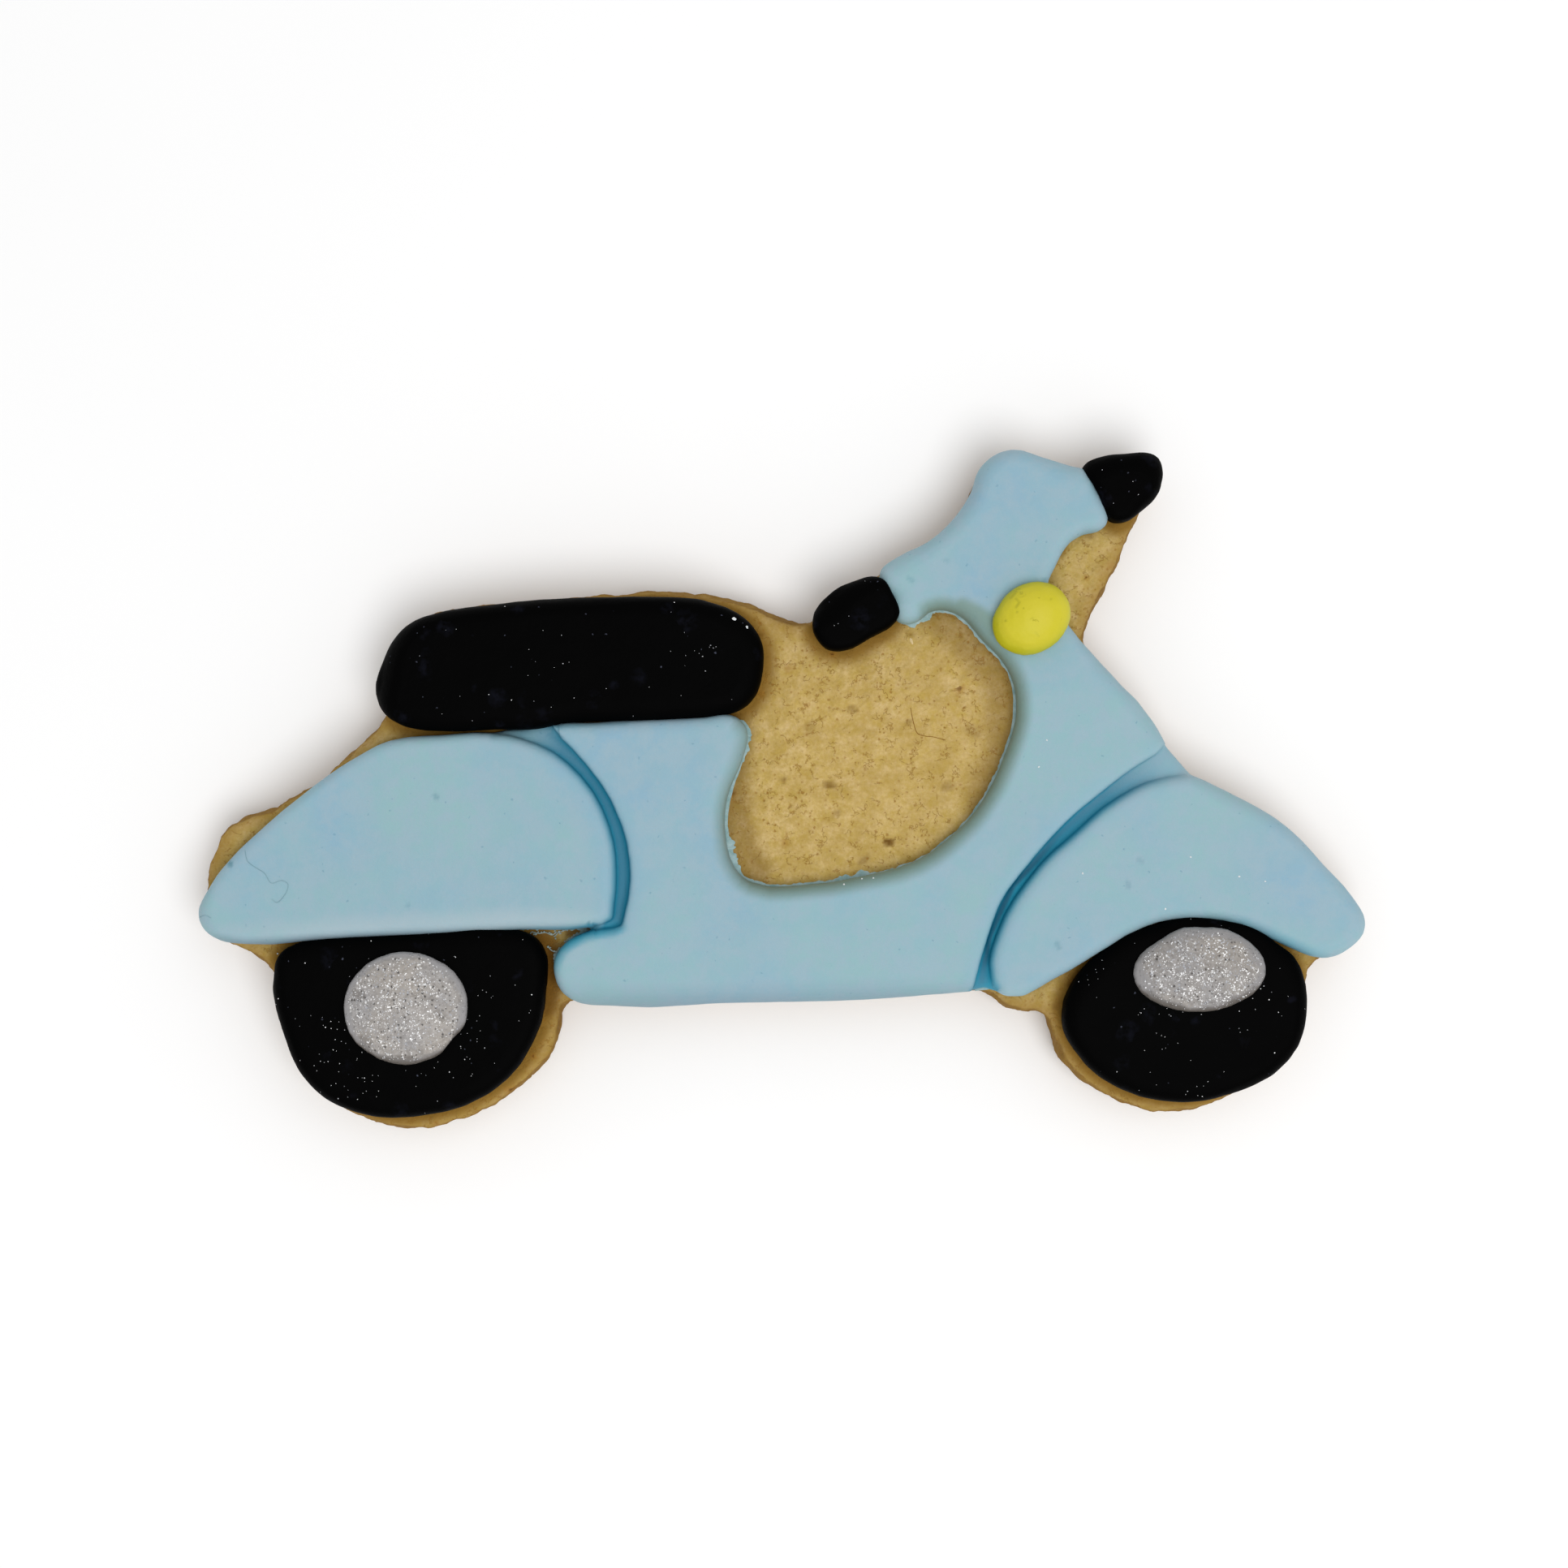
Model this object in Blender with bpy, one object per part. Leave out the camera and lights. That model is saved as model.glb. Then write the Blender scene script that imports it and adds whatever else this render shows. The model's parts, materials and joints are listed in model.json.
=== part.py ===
"""Iced sugar cookie in the shape of a motor scooter, lying flat with its icing up.

A rolled biscuit carries cut and moulded pieces of fondant: one embossed blue sheet for the
bodywork, a black seat, two black handgrips, two black wheels with silver hubs and a yellow
headlight. X runs along the scooter towards its front wheel, Y towards its handlebar and Z up
from the table. The origin lies on the table under the middle of the cookie.

Run it with: blender --background --python part.py
"""

import math

import bmesh
import bpy
from mathutils import Matrix, Vector

MM = 0.001

# Driving dimensions, in millimetres
BISCUIT_THICKNESS = 6.5
BISCUIT_TOP_ROUND = 1.3
BISCUIT_BOTTOM_ROUND = 0.5
# The dough grows a little over its cutter's outline in the oven
BISCUIT_SPREAD = 1.018
# The film of edible glue under each piece of icing
SEAM = 0.3
SHEET_THICKNESS = 3.0
SHEET_ROUND = 0.6
GROOVE_FLOOR_THICKNESS = 1.3
SEAT_THICKNESS = 3.4
SEAT_ROUND = 1.5
TYRE_THICKNESS = 3.0
TYRE_ROUND = 1.3
GRIP_THICKNESS = 3.2
GRIP_ROUND = 0.8

ICING_BASE = BISCUIT_THICKNESS + SEAM
SHEET_TOP = ICING_BASE + SHEET_THICKNESS
TYRE_TOP = ICING_BASE + TYRE_THICKNESS

STEPS_PER_SPAN = 3
ROUND_SEGMENTS = 3
WELD = 0.01 * MM
# A face counts as part of a flat cap when its normal is this close to upright
LEVEL = 0.99
SHARP_ANGLE = math.radians(40)

CORNER = "corner"

# Outlines, in millimetres. Each is the list of points that a smooth closed curve passes
# through, and a point marked CORNER is a sharp one.
BISCUIT_OUTLINE = [
    # tail behind the rear panel
    (-56.1, -8.0), (-55.3, -5.3), (-53.9, -3.4), (-52.2, -2.4), (-49.8, -2.0),
    # slope up to the seat, and round behind it
    (-45.4, 1.2), (-41.7, 4.3), (-39.2, 7.3), (-38.4, 10.1), (-37.6, 13.7), (-35.6, 16.6),
    # along the top of the seat, and down to the left grip
    (-33.4, 17.5), (-24.7, 18.4), (-16.3, 19.1), (-13.1, 19.5), (-8.7, 19.2), (-3.5, 18.3),
    (-0.3, 16.9), (1.7, 16.4), (3.7, 16.9),
    # under the handlebar
    (6.9, 19.5), (13.3, 23.2), (18.0, 27.6), (19.3, 30.8), (21.5, 32.8), (23.7, 32.8),
    (26.1, 31.6), (29.3, 30.9), (32.5, 32.0), (35.5, 32.0), (36.6, 30.3), (35.2, 26.9),
    # right of the steering neck, down to the leg shield
    (33.7, 23.3), (31.8, 19.5), (30.2, 16.4), (29.8, 14.4), (33.7, 9.1), (37.0, 5.1),
    # over the front mudguard, to its tip
    (41.1, 0.8), (46.9, -2.2), (50.1, -4.4), (55.3, -10.1), (56.6, -13.1), (55.2, -15.5),
    (52.6, -16.9),
    # round the front wheel
    (51.4, -19.5), (51.2, -23.2), (49.7, -26.4), (43.8, -30.4), (39.7, -31.8), (34.5, -31.5),
    (30.5, -29.5), (27.5, -26.8), (26.6, -24.3), (25.7, -22.3), (23.3, -21.9), (21.4, -21.3),
    # along the footboard
    (20.1, -20.2), (10.9, -20.4), (-5.1, -20.9), (-17.9, -21.1), (-20.6, -20.9),
    # round the rear wheel
    (-21.8, -21.9), (-22.0, -24.3), (-23.4, -27.2), (-27.1, -30.4), (-31.5, -32.6),
    (-36.3, -33.5), (-41.1, -32.6), (-45.8, -29.7), (-48.6, -25.1), (-49.7, -20.4),
    (-50.4, -17.6),
    # under the tip of the rear panel
    (-53.1, -16.1), (-55.4, -14.9), (-56.5, -12.8), (-56.7, -10.4),
]
REAR_PANEL_OUTLINE = [
    (-57.6, -12.7), (-56.7, -10.1), (-54.6, -7.1), (-51.5, -4.0), (-48.3, -1.2), (-45.1, 1.2),
    (-41.9, 3.2), (-38.7, 4.7), (-33.9, 5.2), (-28.7, 5.5), (-24.3, 4.4), (-19.9, 1.2),
    (-17.1, -3.9), (-16.5, -8.3), (-16.8, -12.9, CORNER), (-18.3, -13.5), (-25.9, -13.8),
    (-37.1, -14.4), (-45.1, -14.8), (-53.1, -15.3), (-56.5, -14.5),
]
BODY_OUTLINE = [
    # under the seat, to the corner above the footwell
    (-23.1, 5.7, CORNER), (-16.3, 6.3), (-7.5, 6.7), (-4.9, 6.9), (-3.7, 5.7), (-3.9, 3.7),
    # footwell
    (-5.3, -1.1), (-5.6, -5.1), (-5.0, -7.5), (-3.3, -9.3), (2.9, -9.6), (7.7, -8.9),
    (13.3, -7.4), (17.3, -4.5), (20.1, -1.1), (22.3, 3.7), (23.1, 8.9), (22.3, 12.1),
    (19.8, 14.9), (17.7, 17.2), (15.3, 17.8),
    # handlebar, from its left end over its crown to its right end
    (12.9, 16.8), (11.6, 17.1), (11.2, 19.0), (9.7, 21.1), (11.3, 22.8), (14.5, 24.4), (17.3, 26.9),
    (18.9, 29.3), (19.9, 31.9), (22.7, 33.5), (25.5, 32.8), (29.7, 31.5, CORNER),
    (30.7, 29.4), (31.7, 26.6), (28.5, 24.6),
    # steering neck and the front of the leg shield
    (26.9, 21.9), (26.2, 19.7), (27.9, 16.5), (32.3, 11.5), (36.5, 6.5), (37.8, 4.2, CORNER),
    # edge of the groove before the front mudguard
    (34.9, 2.5), (30.9, -0.5), (26.1, -4.9), (22.1, -10.1), (20.1, -15.1),
    (18.8, -20.1, CORNER),
    # underside of the footboard, and round its rear end
    (10.9, -20.7), (-5.1, -21.2), (-17.9, -21.4), (-20.9, -20.8), (-22.5, -18.3),
    (-21.9, -16.0), (-19.5, -14.4), (-15.8, -13.7, CORNER),
    # edge of the groove behind the body
    (-15.0, -8.7), (-15.9, -3.5), (-19.5, 2.5),
]
MUDGUARD_OUTLINE = [
    (40.5, 0.9), (45.7, -1.2), (50.1, -4.0), (53.4, -7.5), (56.5, -11.1), (57.5, -13.6),
    (56.1, -15.7), (53.7, -16.7), (50.1, -15.5), (45.3, -13.3), (40.5, -12.7),
    (35.7, -13.6), (30.9, -16.3), (26.9, -18.7), (22.1, -20.5), (20.7, -18.7),
    (21.4, -14.3), (24.1, -9.5), (28.5, -4.7), (33.3, -0.8), (37.6, 1.0),
]
REAR_GROOVE_OUTLINE = [
    # free edge by the seat
    (-29.0, 5.2), (-28.2, 5.6), (-25.9, 5.9), (-23.0, 6.0),
    # inside the body
    (-21.1, 5.3), (-18.3, 2.7), (-15.9, -0.3), (-14.3, -4.7), (-13.9, -8.7), (-14.5, -12.7),
    (-15.1, -15.1), (-18.0, -15.1),
    # free end over the notch, then inside the rear panel
    (-18.5, -14.2), (-18.6, -13.3), (-17.9, -12.3), (-17.7, -8.3), (-18.3, -4.3),
    (-20.7, 0.1), (-24.7, 3.3), (-28.4, 4.5),
]
FRONT_GROOVE_OUTLINE = [
    # free edge between the leg shield and the mudguard
    (36.3, 5.3), (37.9, 4.0), (39.2, 2.3), (40.5, 0.8),
    # inside the mudguard
    (41.7, -0.4), (38.1, -0.1), (34.1, -1.8), (29.3, -5.7), (25.1, -10.4), (22.5, -14.8),
    (21.8, -18.3), (21.8, -19.5),
    # free end at the footboard's underside, then inside the body
    (21.0, -20.0), (20.1, -19.7), (19.0, -20.0), (17.7, -19.5), (18.9, -14.7), (20.9, -9.5),
    (24.9, -4.3), (30.1, 0.4), (34.1, 3.4),
]
SEAT_OUTLINE = [
    (-40.2, 9.3), (-39.5, 12.5), (-37.8, 15.4), (-35.3, 16.9), (-29.1, 18.0), (-21.1, 18.7),
    (-13.1, 18.8), (-5.9, 17.8), (-2.6, 15.2), (-2.1, 11.7), (-3.4, 8.5), (-5.9, 7.4),
    (-9.1, 7.1), (-21.1, 6.7), (-29.1, 6.0), (-34.7, 5.9), (-38.7, 7.0),
]
LEFT_GRIP_OUTLINE = [
    (3.1, 16.5), (4.3, 18.7), (6.9, 20.4), (9.3, 20.6), (10.9, 18.9), (10.9, 16.7),
    (8.5, 14.9), (6.1, 13.8), (3.9, 14.5),
]
RIGHT_GRIP_OUTLINE = [
    (30.6, 31.5), (31.6, 32.5), (33.6, 32.9), (36.3, 32.9), (37.6, 30.9), (35.7, 27.6),
    (33.4, 26.4), (32.2, 27.4), (31.2, 29.6),
]
REAR_TYRE_OUTLINE = [
    (-50.2, -17.5), (-49.1, -15.9), (-45.1, -15.3), (-37.1, -14.9), (-26.3, -14.4),
    (-23.8, -15.7), (-23.4, -19.5), (-24.7, -25.1), (-29.1, -30.1), (-36.3, -32.4),
    (-42.3, -32.0), (-46.7, -29.5), (-49.4, -24.4),
]
FRONT_TYRE_OUTLINE = [
    (27.9, -22.7), (29.7, -18.4), (33.3, -15.5), (38.1, -13.6), (42.9, -13.4),
    (47.5, -14.8), (51.1, -18.1), (51.8, -22.3), (50.1, -26.9), (44.5, -30.0),
    (39.7, -30.9), (33.3, -29.5), (29.1, -25.9),
]

# Domes of rolled fondant: centre, half-length, half-width and height in millimetres, and the
# turn of the length in degrees
REAR_HUB = ((-37.1, -21.6), 6.2, 5.6, 1.5, 0.0)
FRONT_HUB = ((41.1, -17.9), 6.5, 4.2, 1.5, 3.0)
HEADLIGHT = ((24.5, 16.7), 4.1, 3.4, 2.7, 32.0)
DOME_SIDES = 28
DOME_RINGS = 12
# How far up a dome is widest, as a share of its height
DOME_FOOT = 0.25

# Colours are linear red, green and blue
BISCUIT_TAN = (0.53, 0.37, 0.13)
ICING_BLUE = (0.31, 0.47, 0.55)
ICING_BLACK = (0.004, 0.004, 0.005)
HUB_SILVER = (0.42, 0.41, 0.40)
LAMP_YELLOW = (0.68, 0.60, 0.03)


def clear_scene():
    """Removes every object that the file opens with."""
    for obj in list(bpy.data.objects):
        bpy.data.objects.remove(obj)


def make_material(name, colour, roughness, metallic=0.0):
    """A Principled material of one colour."""
    material = bpy.data.materials.new(name)
    material.use_nodes = True
    shader = material.node_tree.nodes["Principled BSDF"]
    shader.inputs["Base Color"].default_value = (*colour, 1.0)
    shader.inputs["Roughness"].default_value = roughness
    shader.inputs["Metallic"].default_value = metallic
    material.diffuse_color = (*colour, 1.0)
    return material


def make_outline_curve(name, outline, thickness, spread):
    """A filled flat curve through the outline's points, spread out and extruded."""
    curve = bpy.data.curves.new(name, "CURVE")
    curve.dimensions = "2D"
    curve.fill_mode = "BOTH"
    curve.resolution_u = STEPS_PER_SPAN
    curve.extrude = thickness * MM / 2
    spline = curve.splines.new("BEZIER")
    spline.bezier_points.add(len(outline) - 1)
    spline.use_cyclic_u = True
    for knot, (x, y, *mark) in zip(spline.bezier_points, outline):
        handle = "VECTOR" if CORNER in mark else "AUTO"
        knot.handle_left_type = handle
        knot.handle_right_type = handle
        knot.co = (x * spread * MM, y * spread * MM, 0.0)
    curve_object = bpy.data.objects.new(name, curve)
    bpy.context.scene.collection.objects.link(curve_object)
    return curve_object


def take_mesh(source):
    """A mesh of what the viewport shows of the object, which is then removed."""
    bpy.context.view_layer.update()
    graph = bpy.context.evaluated_depsgraph_get()
    mesh = bpy.data.meshes.new_from_object(source.evaluated_get(graph))
    data = source.data
    bpy.data.objects.remove(source)
    if isinstance(data, bpy.types.Curve):
        bpy.data.curves.remove(data)
    return mesh


def is_cap_edge(edge):
    """True for an edge inside a flat cap."""
    return all(abs(face.normal.z) > LEVEL for face in edge.link_faces)


def rim_edges(slab, up):
    """The edges round the top cap, or round the bottom one."""
    return [
        edge
        for edge in slab.edges
        if not is_cap_edge(edge)
        and any(face.normal.z * up > LEVEL for face in edge.link_faces)
    ]


def round_rim(slab, up, radius):
    """Rounds one rim of a slab."""
    bmesh.ops.bevel(
        slab,
        geom=rim_edges(slab, up),
        offset=radius * MM,
        affect="EDGES",
        segments=ROUND_SEGMENTS,
        profile=0.5,
        material=-1,
    )


def make_slab(name, outline, base, thickness, top_round, bottom_round=0.0, spread=1.0):
    """A flat piece with the outline, standing on base, with rounded rims."""
    mesh = take_mesh(make_outline_curve(name, outline, thickness, spread))
    slab = bmesh.new()
    slab.from_mesh(mesh)
    bmesh.ops.remove_doubles(slab, verts=slab.verts, dist=WELD)
    slab.normal_update()
    bmesh.ops.dissolve_edges(slab, edges=[edge for edge in slab.edges if is_cap_edge(edge)])
    bmesh.ops.translate(slab, verts=slab.verts, vec=(0, 0, (base + thickness / 2) * MM))
    bmesh.ops.recalc_face_normals(slab, faces=slab.faces)
    if top_round:
        round_rim(slab, 1, top_round)
    if bottom_round:
        round_rim(slab, -1, bottom_round)
    slab.to_mesh(mesh)
    slab.free()
    return bpy.data.objects.new(name, mesh)


def make_dome(name, centre, half_length, half_width, height, turn, base):
    """A flattened ball of fondant, cut flat where it rests on base."""
    foot = DOME_FOOT * height
    dome = bmesh.new()
    bmesh.ops.create_uvsphere(dome, u_segments=DOME_SIDES, v_segments=DOME_RINGS, radius=1.0)
    shape = (
        Matrix.Translation(Vector((*centre, base + foot)) * MM)
        @ Matrix.Rotation(math.radians(turn), 4, "Z")
        @ Matrix.Diagonal((half_length * MM, half_width * MM, (height - foot) * MM, 1.0))
    )
    bmesh.ops.transform(dome, matrix=shape, verts=dome.verts)
    cut = bmesh.ops.bisect_plane(
        dome,
        geom=dome.verts[:] + dome.edges[:] + dome.faces[:],
        dist=WELD,
        plane_co=(0, 0, base * MM),
        plane_no=(0, 0, 1),
        clear_inner=True,
    )
    rim = [item for item in cut["geom_cut"] if isinstance(item, bmesh.types.BMEdge)]
    bmesh.ops.contextual_create(dome, geom=rim)
    bmesh.ops.recalc_face_normals(dome, faces=dome.faces)
    mesh = bpy.data.meshes.new(name)
    dome.to_mesh(mesh)
    dome.free()
    return bpy.data.objects.new(name, mesh)


def fuse(first, others):
    """Joins solids into the first of them."""
    helpers = bpy.data.collections.new("fused_pieces")
    bpy.context.scene.collection.children.link(helpers)
    bpy.context.scene.collection.objects.link(first)
    for other in others:
        helpers.objects.link(other)
    union = first.modifiers.new("union", "BOOLEAN")
    union.operation = "UNION"
    union.operand_type = "COLLECTION"
    union.collection = helpers
    name = first.name
    mesh = take_mesh(first)
    for other in others:
        bpy.data.objects.remove(other)
    bpy.data.collections.remove(helpers)
    return bpy.data.objects.new(name, mesh)


def make_blue_icing():
    """The bodywork: three raised panels of one sheet, joined by the thin floors of its grooves."""
    sheet = (ICING_BASE, SHEET_THICKNESS, SHEET_ROUND)
    floor = (ICING_BASE, GROOVE_FLOOR_THICKNESS, 0.0)
    return fuse(
        make_slab("blue_icing", BODY_OUTLINE, *sheet),
        [
            make_slab("rear_panel", REAR_PANEL_OUTLINE, *sheet),
            make_slab("mudguard", MUDGUARD_OUTLINE, *sheet),
            make_slab("rear_groove", REAR_GROOVE_OUTLINE, *floor),
            make_slab("front_groove", FRONT_GROOVE_OUTLINE, *floor),
        ],
    )


def finish_piece(collection, piece, material):
    """Puts a piece in the cookie's collection, with its material and smooth shading."""
    piece.data.name = piece.name
    piece.data.materials.clear()
    piece.data.materials.append(material)
    piece.data.shade_smooth()
    piece.data.set_sharp_from_angle(angle=SHARP_ANGLE)
    collection.objects.link(piece)


def build_cookie():
    """Makes every piece of the cookie."""
    clear_scene()
    cookie = bpy.data.collections.new("iced_sugar_cookie")
    bpy.context.scene.collection.children.link(cookie)

    biscuit = make_material("biscuit", BISCUIT_TAN, 0.85)
    blue = make_material("blue_icing", ICING_BLUE, 0.6)
    black = make_material("black_icing", ICING_BLACK, 0.45)
    silver = make_material("silver_icing", HUB_SILVER, 0.4, 0.3)
    yellow = make_material("yellow_icing", LAMP_YELLOW, 0.5)

    base = make_slab(
        "biscuit", BISCUIT_OUTLINE, 0.0, BISCUIT_THICKNESS,
        BISCUIT_TOP_ROUND, BISCUIT_BOTTOM_ROUND, BISCUIT_SPREAD,
    )
    finish_piece(cookie, base, biscuit)
    finish_piece(cookie, make_blue_icing(), blue)

    black_pieces = {
        "seat": (SEAT_OUTLINE, ICING_BASE, SEAT_THICKNESS, SEAT_ROUND),
        "left_grip": (LEFT_GRIP_OUTLINE, ICING_BASE, GRIP_THICKNESS, GRIP_ROUND),
        "right_grip": (RIGHT_GRIP_OUTLINE, ICING_BASE, GRIP_THICKNESS, GRIP_ROUND),
        "rear_tyre": (REAR_TYRE_OUTLINE, ICING_BASE, TYRE_THICKNESS, TYRE_ROUND),
        "front_tyre": (FRONT_TYRE_OUTLINE, ICING_BASE, TYRE_THICKNESS, TYRE_ROUND),
    }
    for name, shape in black_pieces.items():
        finish_piece(cookie, make_slab(name, *shape), black)

    domes = {
        "rear_hub": (REAR_HUB, TYRE_TOP + SEAM, silver),
        "front_hub": (FRONT_HUB, TYRE_TOP + SEAM, silver),
        "headlight": (HEADLIGHT, SHEET_TOP + SEAM, yellow),
    }
    for name, (shape, base_height, material) in domes.items():
        finish_piece(cookie, make_dome(name, *shape, base_height), material)


build_cookie()
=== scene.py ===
"""Dresses the model of an iced sugar cookie that is cut as a motor scooter.

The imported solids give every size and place. Each one is shaped again as soft dough or rolled
fondant, and gets the crumb, grooves, torn edges, glitter and lint of the real cookie.

Lengths are in millimetres in the dataclasses and in metres in the meshes.
"""

from __future__ import annotations

import json
import logging
import math
import random
from collections.abc import Callable, Iterable, Sequence
from dataclasses import dataclass
from enum import Enum

import bmesh
import bpy
from mathutils import Matrix, Vector, noise
from mathutils.bvhtree import BVHTree

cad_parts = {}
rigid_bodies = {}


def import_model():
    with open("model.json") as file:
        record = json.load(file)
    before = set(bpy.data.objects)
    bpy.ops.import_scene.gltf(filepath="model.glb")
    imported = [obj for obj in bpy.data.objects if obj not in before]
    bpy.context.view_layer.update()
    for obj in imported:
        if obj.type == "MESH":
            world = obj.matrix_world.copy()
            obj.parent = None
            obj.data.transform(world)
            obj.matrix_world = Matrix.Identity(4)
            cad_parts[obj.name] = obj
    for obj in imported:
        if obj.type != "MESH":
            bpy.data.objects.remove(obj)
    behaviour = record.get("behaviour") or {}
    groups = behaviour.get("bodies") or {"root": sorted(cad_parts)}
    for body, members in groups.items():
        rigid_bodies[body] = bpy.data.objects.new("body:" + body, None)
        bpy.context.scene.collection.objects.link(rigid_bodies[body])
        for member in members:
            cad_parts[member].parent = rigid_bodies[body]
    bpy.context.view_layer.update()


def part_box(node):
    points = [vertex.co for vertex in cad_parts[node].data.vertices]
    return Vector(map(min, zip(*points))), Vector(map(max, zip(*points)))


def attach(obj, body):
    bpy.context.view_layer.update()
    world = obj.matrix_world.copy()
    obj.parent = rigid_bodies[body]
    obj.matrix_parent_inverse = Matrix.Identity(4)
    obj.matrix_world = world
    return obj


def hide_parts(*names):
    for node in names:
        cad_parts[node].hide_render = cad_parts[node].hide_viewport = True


LOG = logging.getLogger("cookie")

MM = 0.001
BODY = "root"
UP = Vector((0.0, 0.0, 1.0))
DOWN = Vector((0.0, 0.0, -1.0))
# The radius of the biscuit's top edge, and where the icing that lies on it begins
BISCUIT_ROUNDING = 1.3
ICING_FOOT = 6.35
# A height above the whole cookie, from which rays look down
RAY_HEIGHT = 20.0
# Where the hubs and the headlight begin, pressed a little into what carries them
DOME_FOOT = 9.5

Colour = tuple[float, float, float, float]
Point = tuple[float, float]
Vert = bmesh.types.BMVert
Socket = bpy.types.NodeSocket


def screen(red: float, green: float, blue: float) -> Colour:
    """A scene colour from the red, green and blue that a screen shows.

    Args:
        red: Red from 0 to 255.
        green: Green from 0 to 255.
        blue: Blue from 0 to 255.

    Returns:
        The linear colour with full alpha.
    """
    linear = []
    for level in (red, green, blue):
        share = level / 255
        linear.append(share / 12.92 if share <= 0.04045 else ((share + 0.055) / 1.055) ** 2.4)
    return (linear[0], linear[1], linear[2], 1.0)


def smooth_step(low: float, high: float, value: float) -> float:
    """Rises smoothly from 0 at low to 1 at high."""
    share = min(max((value - low) / (high - low), 0.0), 1.0)
    return share * share * (3.0 - 2.0 * share)


class Slot(Enum):
    """The record's material slots."""

    BISCUIT = "biscuit"
    BLUE = "blue_fondant"
    BLACK = "black_fondant"
    SILVER = "silver_fondant"
    YELLOW = "yellow_fondant"


class Bench:
    """Adds nodes to one node tree and wires them."""

    def __init__(self, tree: bpy.types.NodeTree) -> None:
        """Keeps the tree to work on."""
        self.tree = tree

    def node(self, kind: str, inputs: dict[str | int, object], **settings: object) -> bpy.types.Node:
        """Adds a node.

        Args:
            kind: The node's type name.
            inputs: What each input gets, by name or number: a socket to wire or a plain value.
            **settings: The node's own properties.

        Returns:
            The new node.
        """
        made = self.tree.nodes.new(kind)
        for name, value in settings.items():
            setattr(made, name, value)
        self._wire(made, inputs)
        return made

    def _wire(self, made: bpy.types.Node, inputs: dict[str | int, object]) -> None:
        """Gives a node's inputs their sockets or plain values."""
        for key, value in inputs.items():
            if isinstance(value, Socket):
                self.tree.links.new(value, made.inputs[key])
            else:
                made.inputs[key].default_value = value

    def sum(self, first: object, second: object) -> Socket:
        """The sum of two values."""
        return self.math("ADD", first, second)

    def product(self, first: object, second: object) -> Socket:
        """The product of two values."""
        return self.math("MULTIPLY", first, second)

    def math(self, operation: str, first: object, second: object) -> Socket:
        """One step of arithmetic.

        Args:
            operation: The Math node's operation.
            first: The first value or socket.
            second: The second value or socket.

        Returns:
            The result's socket.
        """
        made = self.node("ShaderNodeMath", {0: first, 1: second}, operation=operation)
        return made.outputs[0]

    def mix(self, share: object, first: object, second: object) -> Socket:
        """Mixes two colours.

        Args:
            share: How much of the second colour there is.
            first: The first colour or its socket.
            second: The second colour or its socket.

        Returns:
            The mixed colour's socket.
        """
        made = self.node("ShaderNodeMix", {0: share, 6: first, 7: second}, data_type="RGBA")
        return made.outputs[2]

    def place(self) -> Socket:
        """The place on the cookie, in metres."""
        return self.node("ShaderNodeTexCoord", {}).outputs["Object"]

    def attribute(self, name: str) -> Socket:
        """A value that the mesh holds at each vertex."""
        return self.node("ShaderNodeAttribute", {}, attribute_name=name).outputs["Fac"]

    def group(self, tree: bpy.types.NodeTree, inputs: dict[str, object]) -> bpy.types.Node:
        """Places a node group in this tree."""
        made = self.tree.nodes.new("ShaderNodeGroup")
        made.node_tree = tree
        self._wire(made, inputs)
        return made


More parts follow.
